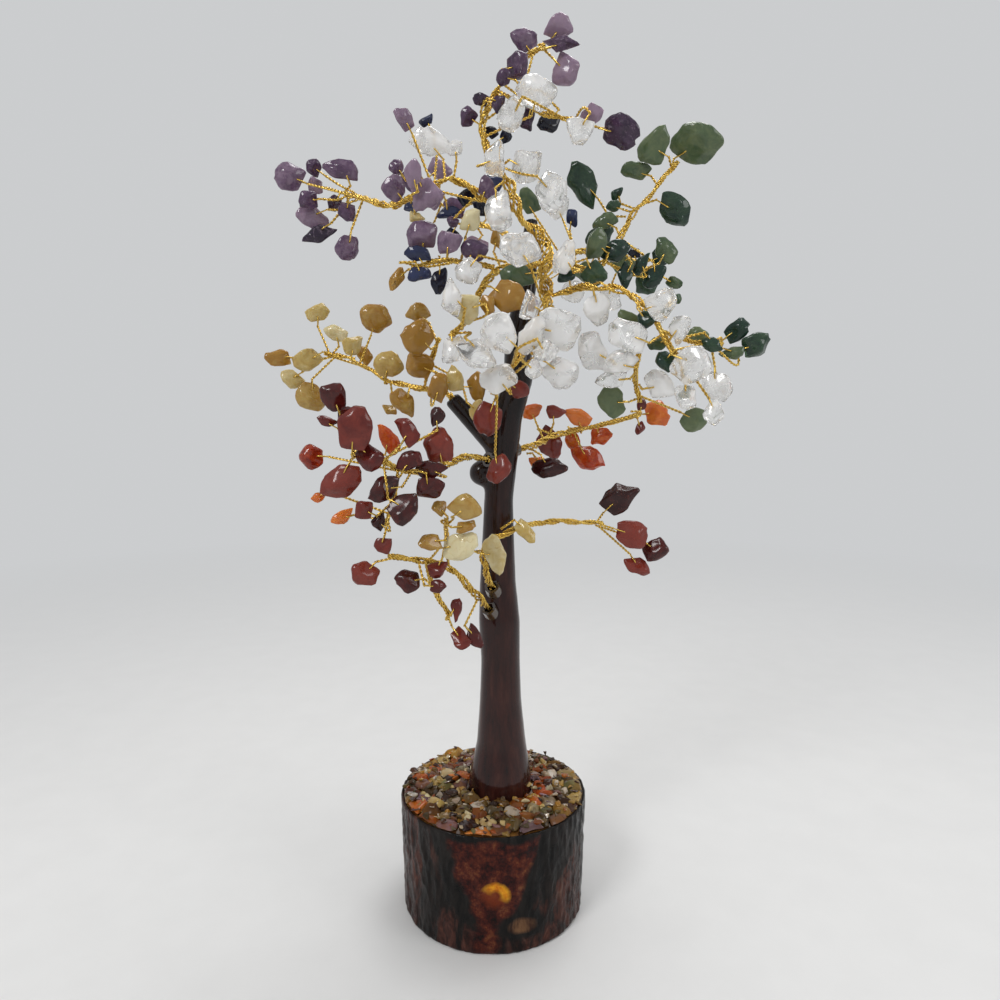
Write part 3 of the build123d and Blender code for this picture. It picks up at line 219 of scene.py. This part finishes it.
def quartz_material():
    """Frosty rock crystal: clear windows among milky veils, under a polished skin."""
    made = Shader("clear_quartz")
    veil = made.noise(190, 3.0, 0.5, distortion=0.9)
    milk = made.math("ADD", veil, made.math("MULTIPLY", made.tone(), 0.2))
    milk = made.grey(milk, (0.42, 0.0), (0.75, 1.0))
    made.set(
        Base_Color=made.ramp(veil, (0.3, (0.93, 0.925, 0.91)), (0.7, (0.99, 0.985, 0.975))),
        Roughness=made.math("ADD", 0.10, made.math("MULTIPLY", milk, 0.3)), IOR=1.46,
        Transmission_Weight=made.math("SUBTRACT", 0.92, made.math("MULTIPLY", milk, 0.5)),
        Coat_Weight=0.8, Coat_Roughness=0.03, Normal=made.bump(made.noise(260, 2.0, 0.5), 0.15, 0.0004))
    return made.material


def gold_material():
    """Bright gold-coloured wire, a little dulled in places."""
    made = Shader("gold_wire")
    wear = made.noise(240, 4.0, 0.6)
    made.set(
        Base_Color=made.ramp(wear, (0.3, (0.56, 0.35, 0.06)), (0.6, (0.74, 0.51, 0.12)), (0.8, (0.86, 0.65, 0.21))),
        Roughness=made.math("ADD", 0.14, made.math("MULTIPLY", wear, 0.22)), Metallic=1.0)
    return made.material


def glue_material():
    """Clear glue in the sockets, with the dark wood seen through it."""
    made = Shader("hot_glue")
    cloud = made.noise(350, 3.0)
    made.set(
        Base_Color=made.ramp(cloud, (0.3, (0.030, 0.017, 0.011)), (0.7, (0.10, 0.062, 0.035))),
        Roughness=made.math("ADD", 0.03, made.math("MULTIPLY", cloud, 0.1)), IOR=1.48,
        Transmission_Weight=0.35, Coat_Weight=1.0, Coat_Roughness=0.03,
        Normal=made.bump(cloud, 0.3, 0.0006))
    return made.material


def resin_material():
    """Amber casting resin between the bed's chips."""
    made = Shader("clear_resin")
    cloud = made.noise(160, 4.0, 0.6, distortion=0.6)
    made.set(
        Base_Color=made.ramp(cloud, (0.3, (0.028, 0.010, 0.004)), (0.55, (0.12, 0.052, 0.012)), (0.8, (0.34, 0.18, 0.045))),
        Roughness=made.math("ADD", 0.05, made.math("MULTIPLY", cloud, 0.12)), Coat_Weight=0.7, Coat_Roughness=0.03,
        Normal=made.bump(made.noise(600, 3.0), 0.3, 0.0004))
    return made.material


def trunk_material():
    """Dark lacquered wood: red-brown below, near black above, with a grain along the trunk."""
    made = Shader("dark_trunk")
    height = made.node("ShaderNodeSeparateXYZ", Vector=made.position()).outputs["Z"]
    stretched = made.node("ShaderNodeMapping", Vector=made.position(), Scale=(1.0, 1.0, 0.18)).outputs["Vector"]
    grain = made.noise(330, 6.0, 0.65, vector=stretched)
    brown = made.ramp(
        grain, (0.3, (0.010, 0.004, 0.004)), (0.55, (0.034, 0.009, 0.007)), (0.8, (0.075, 0.024, 0.016)))
    black = made.ramp(grain, (0.3, (0.004, 0.003, 0.003)), (0.8, (0.022, 0.012, 0.011)))
    share = made.grey(made.math("MULTIPLY", height, 1 / TRUNK_DARK_HEIGHT), (0.55, 0.0), (1.0, 1.0))
    made.set(
        Base_Color=made.mix(share, brown, black), Roughness=0.26, Specular_IOR_Level=0.06, Coat_Weight=0.5,
        Coat_Roughness=0.07, Normal=made.bump(grain, 0.4, 0.0005))
    return made.material


def log_material():
    """Lacquered bark-on log: streaks up the sides, black wells, and a red-brown knot patch in front."""
    made = Shader("lacquered_log")
    split = made.node("ShaderNodeSeparateXYZ", Vector=made.position())
    across, height = split.outputs["X"], split.outputs["Z"]
    front = made.math("LESS_THAN", split.outputs["Y"], 0.0)
    stretched = made.node("ShaderNodeMapping", Vector=made.position(), Scale=(1.0, 1.0, 0.35)).outputs["Vector"]
    streak = made.noise(210, 7.0, 0.72, vector=stretched, distortion=1.1)
    patches = made.noise(52, 5.0, 0.62, vector=stretched, distortion=1.4)
    wobble = made.math("MULTIPLY", made.math("SUBTRACT", made.noise(130, 4.0), 0.5), PATCH_WOBBLE)
    bark = made.ramp(
        streak, (0.32, (0.004, 0.003, 0.003)), (0.47, (0.024, 0.010, 0.008)), (0.60, (0.080, 0.028, 0.020)),
        (0.72, (0.13, 0.075, 0.055)), (0.88, (0.24, 0.19, 0.155)))
    wells = made.grey(patches, (0.46, 0.0), (0.54, 1.0))
    black = made.ramp(streak, (0.4, (0.003, 0.003, 0.003)), (0.8, (0.022, 0.018, 0.016)))
    colour = made.mix(made.math("MULTIPLY", wells, 0.95), bark, black)

    def oval(place, reach):
        """How far out a point is from a place on the front, as a share of the reach."""
        side = made.math("MULTIPLY", made.math("SUBTRACT", across, place[0]), 1 / reach[0])
        rise = made.math("MULTIPLY", made.math("SUBTRACT", height, place[1]), 1 / reach[1])
        squares = made.math("ADD", made.math("MULTIPLY", side, side), made.math("MULTIPLY", rise, rise))
        ragged = made.math("MULTIPLY", wobble, 0.35 / min(reach))
        return made.math("ADD", made.math("SQRT", squares), ragged), side, rise

    # Shield patch: wide near the rim, pointed below, with a black border
    side = made.math("ABSOLUTE", made.math("ADD", across, wobble))
    rise = made.math("SUBTRACT", made.math("ADD", height, wobble), PATCH_TIP_HEIGHT)
    rise = made.math("MAXIMUM", made.math("MULTIPLY", rise, 1 / (PATCH_TOP_HEIGHT - PATCH_TIP_HEIGHT)), 0.0)
    half = made.math("MULTIPLY", made.math("POWER", rise, PATCH_ROUND), PATCH_HALF_WIDTH)
    edge = made.math("SUBTRACT", half, side)
    ceiling = made.math("SUBTRACT", PATCH_TOP_HEIGHT, made.math("ADD", height, wobble))
    edge = made.math("MINIMUM", edge, ceiling)
    border = made.grey(made.math("MULTIPLY", made.math("ADD", edge, PATCH_BORDER), 1 / PATCH_BORDER), (0.0, 0.0), (0.45, 1.0))
    colour = made.mix(made.math("MULTIPLY", border, front), colour, black)
    inside = made.grey(made.math("MULTIPLY", edge, 1 / PATCH_FADE), (0.0, 0.0), (1.0, 1.0))
    mottle = made.ramp(
        made.noise(230, 8.0, 0.76), (0.38, (0.005, 0.002, 0.002)), (0.48, (0.034, 0.005, 0.004)),
        (0.57, (0.085, 0.016, 0.008)), (0.66, (0.16, 0.052, 0.020)), (0.80, (0.32, 0.16, 0.075)))
    colour = made.mix(made.math("MULTIPLY", made.math("MULTIPLY", inside, front), 0.95), colour, mottle)
    # Yellow crescent round the knot's dark red middle
    reach, side, rise = oval(KNOT_PLACE, (KNOT_REACH, KNOT_REACH))
    warm = made.math("MULTIPLY", made.grey(reach, (0.5, 0.55), (1.7, 0.0)), front)
    colour = made.mix(warm, colour, (0.20, 0.032, 0.006))
    ring = made.grey(reach, (0.20, 0.0), (0.50, 1.0), (0.72, 1.0), (1.0, 0.0))
    upper = made.math("ADD", rise, made.math("MULTIPLY", side, 0.55))
    upper = made.grey(made.math("ADD", made.math("MULTIPLY", upper, 0.5), 0.5), (0.40, 0.0), (0.72, 1.0))
    share = made.math("MULTIPLY", made.math("MULTIPLY", ring, upper), front)
    glow = made.ramp(made.noise(420, 5.0, 0.7), (0.35, (0.50, 0.14, 0.006)), (0.6, (0.84, 0.42, 0.02)))
    colour = made.mix(share, colour, glow)
    # Brown patch at the foot, and an oval knot beside it in a black ring
    reach, _, _ = oval(LOW_PATCH_PLACE, LOW_PATCH_REACH)
    foot = made.math("MULTIPLY", made.grey(reach, (0.5, 0.9), (1.0, 0.0)), front)
    colour = made.mix(foot, colour, mottle)
    reach, _, _ = oval(LOW_KNOT_PLACE, LOW_KNOT_REACH)
    dark = made.math("MULTIPLY", made.grey(reach, (0.75, 1.0), (1.0, 0.0)), front)
    colour = made.mix(dark, colour, black)
    heart = made.math("MULTIPLY", made.grey(reach, (0.35, 0.85), (0.58, 0.0)), front)
    colour = made.mix(heart, colour, made.ramp(streak, (0.4, (0.045, 0.018, 0.010)), (0.65, (0.19, 0.095, 0.045))))
    bumps = made.math("ADD", streak, made.math("MULTIPLY", patches, 0.6))
    made.set(
        Base_Color=colour, Roughness=made.math("ADD", 0.12, made.math("MULTIPLY", streak, 0.2)),
        Specular_IOR_Level=0.04, Coat_Weight=0.2, Coat_Roughness=0.05, Normal=made.bump(bumps, 0.5, 0.0012))
    return made.material


STONE_LOOKS = {
    "amethyst": dict(
        dark=(0.022, 0.010, 0.030), middle=(0.105, 0.055, 0.112), pale=(0.32, 0.225, 0.31), vein=(0.38, 0.29, 0.37),
        transmission=0.2, subsurface=0.25),
    "quartz": dict(
        dark=(0.40, 0.30, 0.17), middle=(0.66, 0.56, 0.40), pale=(0.88, 0.82, 0.70), vein=(0.90, 0.86, 0.78),
        transmission=0.3, subsurface=0.3),
    "green": dict(
        dark=(0.008, 0.028, 0.018), middle=(0.034, 0.070, 0.036), pale=(0.12, 0.155, 0.075), vein=(0.075, 0.12, 0.07),
        subsurface=0.2),
    "citrine": dict(
        dark=(0.38, 0.195, 0.028), middle=(0.57, 0.42, 0.135), pale=(0.78, 0.70, 0.44), vein=(0.40, 0.24, 0.06),
        transmission=0.18, subsurface=0.35),
    "carnelian": dict(
        dark=(0.19, 0.012, 0.005), middle=(0.52, 0.058, 0.010), pale=(0.80, 0.23, 0.035), vein=(0.85, 0.33, 0.09),
        transmission=0.28, subsurface=0.4),
    "jasper": dict(
        dark=(0.028, 0.004, 0.004), middle=(0.090, 0.009, 0.007), pale=(0.19, 0.029, 0.018), vein=(0.18, 0.040, 0.026),
        roughness=0.22),
    "lapis": dict(
        dark=(0.004, 0.005, 0.014), middle=(0.008, 0.011, 0.034), pale=(0.020, 0.028, 0.080), vein=(0.04, 0.05, 0.08)),
}
MATERIALS = {
    **{kind: stone_material(kind, **look) for kind, look in STONE_LOOKS.items()},
    **{"bed_" + kind: stone_material("bed_" + kind, steep=BED_STEEP, **look) for kind, look in STONE_LOOKS.items()},
    "quartz": quartz_material(),
    "gold_wire": gold_material(),
    "hot_glue": glue_material(),
    "clear_resin": resin_material(),
    "dark_trunk": trunk_material(),
    "lacquered_log": log_material(),
}


# Reading the CAD solids

def solids_of(node):
    """Each solid of a CAD node as its corner points and plane faces."""
    mesh = bmesh.new()
    mesh.from_mesh(frame["nodes"][node].data)
    bmesh.ops.remove_doubles(mesh, verts=mesh.verts, dist=MERGE_GAP)
    bmesh.ops.dissolve_limit(mesh, angle_limit=FLAT_ANGLE, verts=mesh.verts, edges=mesh.edges)
    mesh.verts.index_update()
    mesh.verts.ensure_lookup_table()
    solids, seen = [], set()
    for first in mesh.verts:
        if first.index in seen:
            continue
        group, stack = [], [first]
        seen.add(first.index)
        while stack:
            vertex = stack.pop()
            group.append(vertex)
            for edge in vertex.link_edges:
                other = edge.other_vert(vertex)
                if other.index not in seen:
                    seen.add(other.index)
                    stack.append(other)
        place = {vertex.index: k for k, vertex in enumerate(group)}
        faces = {face for vertex in group for face in vertex.link_faces}
        solids.append({
            "points": np.array([vertex.co for vertex in group]),
            "faces": [[place[vertex.index] for vertex in face.verts] for face in faces],
        })
    mesh.free()
    return solids


def centre_line(solid, sides):
    """Centre points of the corner rings of a wire solid, from one end face to the other."""
    links = {k: set() for k in range(len(solid["points"]))}
    for face in solid["faces"]:
        for a, b in zip(face, face[1:] + face[:1]):
            links[a].add(b)
            links[b].add(a)
    ring = next(face for face in solid["faces"] if len(face) == sides)
    seen, line = set(ring), []
    while ring:
        line.append(solid["points"][list(ring)].mean(axis=0))
        ring = {other for corner in ring for other in links[corner]} - seen
        seen |= ring
    radius = np.linalg.norm(solid["points"] - line[0], axis=1).min()
    return line, radius


def joined(runs):
    """Runs that share an end point, joined into longer lines. A line is a list of points and of radii."""
    lines = [([run[0][0], run[0][-1]], [run[1], run[1]]) for run in runs]
    merged = True
    while merged:
        merged = False
        for i, (points, radii) in enumerate(lines):
            for j, (others, other_radii) in enumerate(lines):
                if i == j:
                    continue
                for flip in (False, True):
                    far, far_radii = (others[::-1], other_radii[::-1]) if flip else (others, other_radii)
                    if np.linalg.norm(points[-1] - far[0]) < JOIN_GAP:
                        lines[i] = (points + far[1:], radii + far_radii[1:])
                        del lines[j]
                        merged = True
                        break
                if merged:
                    break
            if merged:
                break
    return lines


def wire_lines(node):
    """Stems, twigs and loops of a wire node."""
    stems, twigs, loops = [], [], []
    for solid in solids_of(node):
        if any(len(face) == 6 for face in solid["faces"]):
            stems.append(centre_line(solid, 6))
        elif len(solid["points"]) == 6:
            twigs.append(centre_line(solid, 3))
        else:
            loops.append(centre_line(solid, 3)[0])
    return joined(stems), joined(twigs), loops


# Wire strands

def smooth_line(points, radii, step):
    """A line through the points with soft bends, at even steps, with the radius at each."""
    points, radii = np.array(points), np.array(radii)
    for _ in range(3):
        cut = [points[0]]
        cut_radii = [radii[0]]
        for a, b, p, q in zip(points, points[1:], radii, radii[1:]):
            cut += [0.75 * a + 0.25 * b, 0.25 * a + 0.75 * b]
            cut_radii += [0.75 * p + 0.25 * q, 0.25 * p + 0.75 * q]
        points = np.array(cut + [points[-1]])
        radii = np.array(cut_radii + [radii[-1]])
    along = np.concatenate([[0], np.cumsum(np.linalg.norm(np.diff(points, axis=0), axis=1))])
    count = max(int(along[-1] / step), 3)
    places = np.linspace(0, along[-1], count + 1)
    line = np.stack([np.interp(places, along, points[:, k]) for k in range(3)], axis=1)
    return line, np.interp(places, along, radii), places


def frames_along(line):
    """Two unit vectors square to the line at each point, turning as little as they can."""
    ways = np.gradient(line, axis=0)
    ways /= np.linalg.norm(ways, axis=1)[:, None]
    guide = np.array([0.0, 0.0, 1.0]) if abs(ways[0][2]) < 0.9 else np.array([1.0, 0.0, 0.0])
    first = np.zeros_like(line)
    for k, way in enumerate(ways):
        guide = guide - way * (guide @ way)
        guide /= np.linalg.norm(guide)
        first[k] = guide
    return first, np.cross(ways, first)


class MeshParts:
    """Vertices, faces and stone tones gathered for one new object."""

    def __init__(self):
        self.vertices, self.faces, self.tones, self.slots = [], [], [], []

    def tube(self, line, radius):
        first, second = frames_along(line)
        start = len(self.vertices)
        turns = np.arange(WIRE_SIDES) * 2 * math.pi / WIRE_SIDES
        for point, a, b in zip(line, first, second):
            self.vertices += [tuple(point + radius * (math.cos(t) * a + math.sin(t) * b)) for t in turns]
        for k in range(len(line) - 1):
            for i in range(WIRE_SIDES):
                j = (i + 1) % WIRE_SIDES
                low, high = start + k * WIRE_SIDES, start + (k + 1) * WIRE_SIDES
                self.faces.append((low + i, low + j, high + j, high + i))
        self.faces.append(tuple(range(start + WIRE_SIDES - 1, start - 1, -1)))
        self.faces.append(tuple(len(self.vertices) - WIRE_SIDES + i for i in range(WIRE_SIDES)))

    def add(self, vertices, faces, tone=0.0, slot=0):
        start = len(self.vertices)
        self.vertices += vertices
        self.faces += [tuple(start + k for k in face) for face in faces]
        self.tones += [tone] * len(vertices)
        self.slots += [slot] * len(faces)

    def build(self, name, materials, body, replaced=()):
        mesh = bpy.data.meshes.new(name)
        mesh.from_pydata(self.vertices, [], self.faces)
        mesh.update()
        mesh.polygons.foreach_set("use_smooth", [True] * len(mesh.polygons))
        if self.tones:
            mesh.attributes.new("stone_tone", "FLOAT", "POINT").data.foreach_set("value", self.tones)
        if any(self.slots):
            mesh.polygons.foreach_set("material_index", self.slots)
        for material in materials:
            mesh.materials.append(material)
        made = bpy.data.objects.new(name, mesh)
        bpy.context.scene.collection.objects.link(made)
        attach(made, body)
        if replaced:
            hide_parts(*replaced)
        return made


def tucked(points, first_tuck, last_tuck):
    """The same line, a little longer at its ends."""
    points = [np.array(point) for point in points]
    first = points[0] - points[1]
    last = points[-1] - points[-2]
    points[0] = points[0] + first / np.linalg.norm(first) * first_tuck
    points[-1] = points[-1] + last / np.linalg.norm(last) * last_tuck
    return points


def starting_near(points, radii, targets):
    """The line turned so that its first point is the end nearer to any of the targets."""
    apart = [min(np.linalg.norm(points[end] - target) for target in targets) for end in (0, -1)]
    return (points, radii) if apart[0] <= apart[1] else (points[::-1], radii[::-1])


def lay_twig(parts, points, radii, turn):
    """A twisted pair of wires from a chip's tie to its stem."""
    line, _, places = smooth_line(tucked(points, TIE_TUCK, TWIG_TUCK), radii, STEP_ALONG)
    first, second = frames_along(line)
    for start in (0, math.pi):
        angle = turn + start + 2 * math.pi * places / TWIG_PITCH
        offset = np.cos(angle)[:, None] * first + np.sin(angle)[:, None] * second
        parts.tube(line + TWIG_TWIST_RADIUS * offset, WIRE_RADIUS)


def lay_bundle(parts, points, radii, pairs, draw, root_tuck):
    """A bundle of twisted pairs wound loosely round each other, drawn together where it starts."""
    line, sizes, places = smooth_line(tucked(points, root_tuck, 0.0), radii, STEP_ALONG)
    first, second = frames_along(line)
    gathered = np.clip(places / STEM_GATHER_LENGTH, STEM_GATHER_LEAST, 1)
    for pair in range(pairs):
        pitch = STEM_PITCH * draw.uniform(0.8, 1.3)
        lean = draw.uniform(0, 2 * math.pi)
        angle = 2 * math.pi * (pair / pairs + places / pitch)
        wander = 1 + STEM_WANDER * np.sin(places / STEM_WANDER_LENGTH + lean)
        reach = (np.maximum(sizes - 2 * WIRE_RADIUS, WIRE_RADIUS) * STEM_CORE_SHARE * wander * gathered)[:, None]
        middle = line + reach * (np.cos(angle)[:, None] * first + np.sin(angle)[:, None] * second)
        for start in (0, math.pi):
            twist = lean + start + 2 * math.pi * places / TWIG_PITCH
            offset = np.cos(twist)[:, None] * first + np.sin(twist)[:, None] * second
            parts.tube(middle + TWIG_TWIST_RADIUS * offset, WIRE_RADIUS)


def pairs_for(radius):
    return max(3, round(radius / STEM_PAIR_RADIUS))


def dress_wires():
    """Every bough's wire, the roots and the mast as twisted strands."""
    hinges = {joint["child"]: np.array(joint["pos_m"]) for joint in frame["record"]["behaviour"]["joints"]}
    for node, body in sorted(BODY_OF.items()):
        if not (node.endswith("_wire") or node in ("mast", "wire_roots")):
            continue
        draw = random.Random(node)
        stems, twigs, loops = wire_lines(node)
        parts = MeshParts()
        hinge = hinges.get(body)
        for points, radii in stems:
            others = [point for line, _ in stems if line is not points for point in line]
            if others:
                points, radii = starting_near(points, radii, others)
            tuck = STEM_TUCK
            for end in (0, -1):
                if hinge is not None and np.linalg.norm(points[end] - hinge) < JOIN_GAP:
                    points, radii = starting_near(points, radii, [hinge])
                    tuck = ROOT_TUCK
            lay_bundle(parts, points, radii, pairs_for(max(radii)), draw, tuck)
        ties = [(line[0] + line[-1]) / 2 for line in loops]
        for points, radii in twigs:
            points, radii = starting_near(points, radii, ties)
            lay_twig(parts, points, radii, draw.uniform(0, math.pi))
        for points in loops:
            line, _, _ = smooth_line(points, [WIRE_RADIUS] * len(points), STEP_ALONG)
            parts.tube(line, WIRE_RADIUS)
        parts.build(node + "_strands", [MATERIALS["gold_wire"]], body, [node])


# Stones

def stone_shape(points, draw, cuts):
    """A chip: the hull of the CAD chip with its edges taken off and a slightly uneven skin."""
    mesh = bmesh.new()
    for point in points:
        mesh.verts.new(point)
    hull = bmesh.ops.convex_hull(mesh, input=mesh.verts)
    spare = {item for key in ("geom_interior", "geom_unused") for item in hull[key] if isinstance(item, bmesh.types.BMVert)}
    bmesh.ops.delete(mesh, geom=list(spare), context="VERTS")
    bmesh.ops.dissolve_limit(mesh, angle_limit=FLAT_ANGLE, verts=mesh.verts, edges=mesh.edges)
    size = float(np.linalg.norm(np.ptp(points, axis=0)))
    bmesh.ops.bevel(
        mesh, geom=list(mesh.edges), offset=size * STONE_EDGE_SHARE, segments=1, profile=0.6,
        affect="EDGES", clamp_overlap=True)
    bmesh.ops.triangulate(mesh, faces=mesh.faces)
    for _ in range(cuts):
        bmesh.ops.subdivide_edges(mesh, edges=mesh.edges, cuts=1, use_grid_fill=True)
    bmesh.ops.smooth_vert(mesh, verts=mesh.verts, factor=0.4, use_axis_x=True, use_axis_y=True, use_axis_z=True)
    mesh.normal_update()
    shift = Vector([draw.uniform(-1, 1) for _ in range(3)])
    for vertex in mesh.verts:
        uneven = STONE_ROUGH * (noise.noise(vertex.co / STONE_ROUGH_SIZE + shift) - 0.25)
        uneven += STONE_PIT * noise.noise(vertex.co / STONE_PIT_SIZE + shift)
        vertex.co += vertex.normal * uneven
    # The finished chip fills the CAD chip's box again
    made = np.array([vertex.co for vertex in mesh.verts])
    fit = np.ptp(points, axis=0) / np.ptp(made, axis=0)
    made = points.min(axis=0) + (made - made.min(axis=0)) * fit
    for vertex, place in zip(mesh.verts, made):
        vertex.co = place
    mesh.verts.index_update()
    shape = [tuple(vertex.co) for vertex in mesh.verts], [[vertex.index for vertex in face.verts] for face in mesh.faces]
    mesh.free()
    return shape


def dress_stones():
    for node, body in sorted(BODY_OF.items()):
        kind = node.split("_")[-1]
        if kind not in STONES:
            continue
        draw = random.Random(node)
        parts = MeshParts()
        for solid in solids_of(node):
            vertices, faces = stone_shape(solid["points"], draw, 1 if node.startswith("bed_") else 2)
            parts.add(vertices, faces, draw.random())
        look = "bed_" + kind if node.startswith("bed_") else kind
        parts.build(node + "_stones", [MATERIALS[look]], body, [node])


# Bed

def dress_bed():
    """Smaller chips strewn over the laid ones, each lying on what is under it."""
    draw = random.Random("bed")
    low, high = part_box("log_base")
    ground = [node for node in BODY_OF if node.startswith("bed_") or node in ("resin_bed", "log_base", "trunk")]
    corners, faces = [], []
    for node in ground:
        mesh = frame["nodes"][node].data
        start = len(corners)
        corners += [vertex.co.copy() for vertex in mesh.vertices]
        faces += [[start + k for k in face.vertices] for face in mesh.polygons]
    tree = BVHTree.FromPolygons(corners, faces)
    top = max(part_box(node)[1][2] for node in BODY_OF if node.startswith("bed_"))
    reach = (high[0] - low[0]) / 2 - SMALL_CHIP_EDGE_ROOM
    parts = MeshParts()
    for k in range(SMALL_CHIP_COUNT):
        out = reach * math.sqrt((k + 0.5) / SMALL_CHIP_COUNT)
        turn = k * math.pi * (3 - math.sqrt(5))
        spot = Vector((out * math.cos(turn), out * math.sin(turn), high[2] * 4))
        hit, facing, _, _ = tree.ray_cast(spot, Vector((0, 0, -1)))
        size = draw.uniform(*SMALL_CHIP_RADII)
        if hit.z > top + MM or facing.z < 0:
            continue
        middle = hit + Vector((0, 0, draw.uniform(*SMALL_CHIP_LIFT) * size))
        points = []
        for _ in range(SMALL_CHIP_CORNERS):
            way = Vector([draw.gauss(0, 1) for _ in range(3)]).normalized()
            way.z *= SMALL_CHIP_FLATNESS
            points.append(middle + way * size * draw.uniform(0.6, 1.0))
        vertices, faces = stone_shape(np.array(points), draw, 0)
        parts.add(vertices, faces, draw.random(), draw.choice(SMALL_CHIP_KINDS))
    parts.build("bed_small_chips", [MATERIALS["bed_" + kind] for kind in STONES], "stand")


# Trunk, base and the rest of the CAD nodes

def dress_trunk():
    made = bpy.data.objects.new("trunk_bark", frame["nodes"]["trunk"].data.copy())
    bpy.context.scene.collection.objects.link(made)
    remesh = made.modifiers.new("even", "REMESH")
    remesh.mode = "VOXEL"
    remesh.voxel_size = TRUNK_VOXEL
    remesh.use_smooth_shade = True
    smooth = made.modifiers.new("soft", "SMOOTH")
    smooth.factor = 0.5
    smooth.iterations = 14
    made.data.materials.clear()
    made.data.materials.append(MATERIALS["dark_trunk"])
    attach(made, "stand")
    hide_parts("trunk")


def dress_log():
    """The log with its bark in furrows, cut into the CAD outline."""
    made = bpy.data.objects.new("log_bark", frame["nodes"]["log_base"].data.copy())
    bpy.context.scene.collection.objects.link(made)
    remesh = made.modifiers.new("even", "REMESH")
    remesh.mode = "VOXEL"
    remesh.voxel_size = BARK_VOXEL
    ready = made.evaluated_get(bpy.context.evaluated_depsgraph_get())
    mesh = bpy.data.meshes.new_from_object(ready)
    made.modifiers.clear()
    made.data = mesh
    places = [vertex.co.copy() for vertex in mesh.vertices]
    outward = [vertex.normal.copy() for vertex in mesh.vertices]
    for place, out in zip(places, outward):
        out.z = 0
        if out.length < 0.7 or out.dot(place) < 0:
            continue
        spot = Vector((place.x, place.y, place.z * BARK_STRETCH)) / BARK_SIZE
        furrow = abs(noise.noise(spot)) + 0.5 * abs(noise.noise(spot * 2.3)) + 0.25 * noise.noise(spot * 5)
        place -= out.normalized() * BARK_DEPTH * min(max(furrow, 0.0), 1.0)
    mesh.vertices.foreach_set("co", [value for place in places for value in place])
    mesh.update()
    mesh.polygons.foreach_set("use_smooth", [True] * len(mesh.polygons))
    mesh.materials.clear()
    mesh.materials.append(MATERIALS["lacquered_log"])
    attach(made, "stand")
    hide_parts("log_base")


def paint_node(node, slot):
    cad = frame["nodes"][node]
    cad.material_slots[0].material = MATERIALS[slot]


# Stage

def seen_rays(tree):
    """One for the rays that show a thing, straight, mirrored or through glass, and nought for those that light it."""
    path = tree.nodes.new("ShaderNodeLightPath")
    share = path.outputs["Is Camera Ray"]
    for ray in ("Is Glossy Ray", "Is Transmission Ray"):
        either = tree.nodes.new("ShaderNodeMath")
        either.operation = "MAXIMUM"
        tree.links.new(share, either.inputs[0])
        tree.links.new(path.outputs[ray], either.inputs[1])
        share = either.outputs[0]
    return share


def floor_material():
    """A pale floor that runs into the wall's colour far from the ornament."""
    made = Shader("floor")
    grain = made.noise(60, 4.0)
    made.set(
        Base_Color=made.ramp(grain, (0.3, (0.745, 0.745, 0.74)), (0.7, (0.765, 0.765, 0.76))), Roughness=0.6,
        Specular_IOR_Level=0.2)
    away = made.node("ShaderNodeVectorMath", Vector=made.position())
    away.operation = "LENGTH"
    near, far = FLOOR_FADE
    fade = made.math("DIVIDE", made.math("SUBTRACT", away.outputs["Value"], near), far - near)
    fade = made.grey(fade, (0.0, 0.0), (1.0, 1.0))
    wall = made.node("ShaderNodeEmission", Color=PALE_WALL)
    mixed = made.tree.nodes.new("ShaderNodeMixShader")
    made.put(mixed.inputs["Fac"], made.math("MULTIPLY", fade, seen_rays(made.tree)))
    made.put(mixed.inputs[1], made.shader.outputs[0])
    made.put(mixed.inputs[2], wall.outputs[0])
    made.put(made.tree.nodes["Material Output"].inputs["Surface"], mixed.outputs[0])
    return made.material


def make_stage():
    scene = bpy.context.scene
    scene.view_settings.view_transform = "Standard"
    bpy.ops.mesh.primitive_plane_add(size=8)
    floor = bpy.context.object
    floor.name = "floor"
    floor.data.materials.append(floor_material())
    world = bpy.data.worlds.new("studio")
    scene.world = world
    world.use_nodes = True
    tree = world.node_tree
    light = tree.nodes["Background"]
    light.inputs["Color"].default_value = (1, 1, 1, 1)
    light.inputs["Strength"].default_value = 0.52
    seen = tree.nodes.new("ShaderNodeBackground")
    seen.inputs["Color"].default_value = (*PALE_WALL, 1)
    mixed = tree.nodes.new("ShaderNodeMixShader")
    tree.links.new(seen_rays(tree), mixed.inputs["Fac"])
    tree.links.new(light.outputs[0], mixed.inputs[1])
    tree.links.new(seen.outputs[0], mixed.inputs[2])
    tree.links.new(mixed.outputs[0], tree.nodes["World Output"].inputs["Surface"])
    aim = Vector((0, 0, 0.14))
    for name, place, size, power in (
        ("key", (-0.40, -0.55, 0.70), 0.24, 2.6),
        ("fill", (0.65, -0.35, 0.40), 0.30, 1.0),
        ("top", (0.15, 0.20, 0.85), 0.35, 2.2),
    ):
        lamp = bpy.data.lights.new(name, "AREA")
        lamp.size = size
        lamp.energy = power
        made = bpy.data.objects.new(name, lamp)
        made.location = place
        made.rotation_euler = (aim - made.location).to_track_quat("-Z", "Y").to_euler()
        scene.collection.objects.link(made)
    camera = bpy.data.cameras.new("camera")
    camera.sensor_width = SENSOR_WIDTH
    camera.lens = FOCAL_PIXELS / PICTURE_PIXELS * SENSOR_WIDTH
    camera.clip_start = 0.01
    seat = bpy.data.objects.new("camera", camera)
    seat.location = EYE
    seat.rotation_euler = (math.radians(90 - EYE_PITCH_DEGREES), 0, 0)
    scene.collection.objects.link(seat)
    scene.camera = seat


dress_wires()
dress_stones()
dress_bed()
dress_trunk()
dress_log()
paint_node("resin_bed", "clear_resin")
paint_node("glue_plugs", "hot_glue")
make_stage()
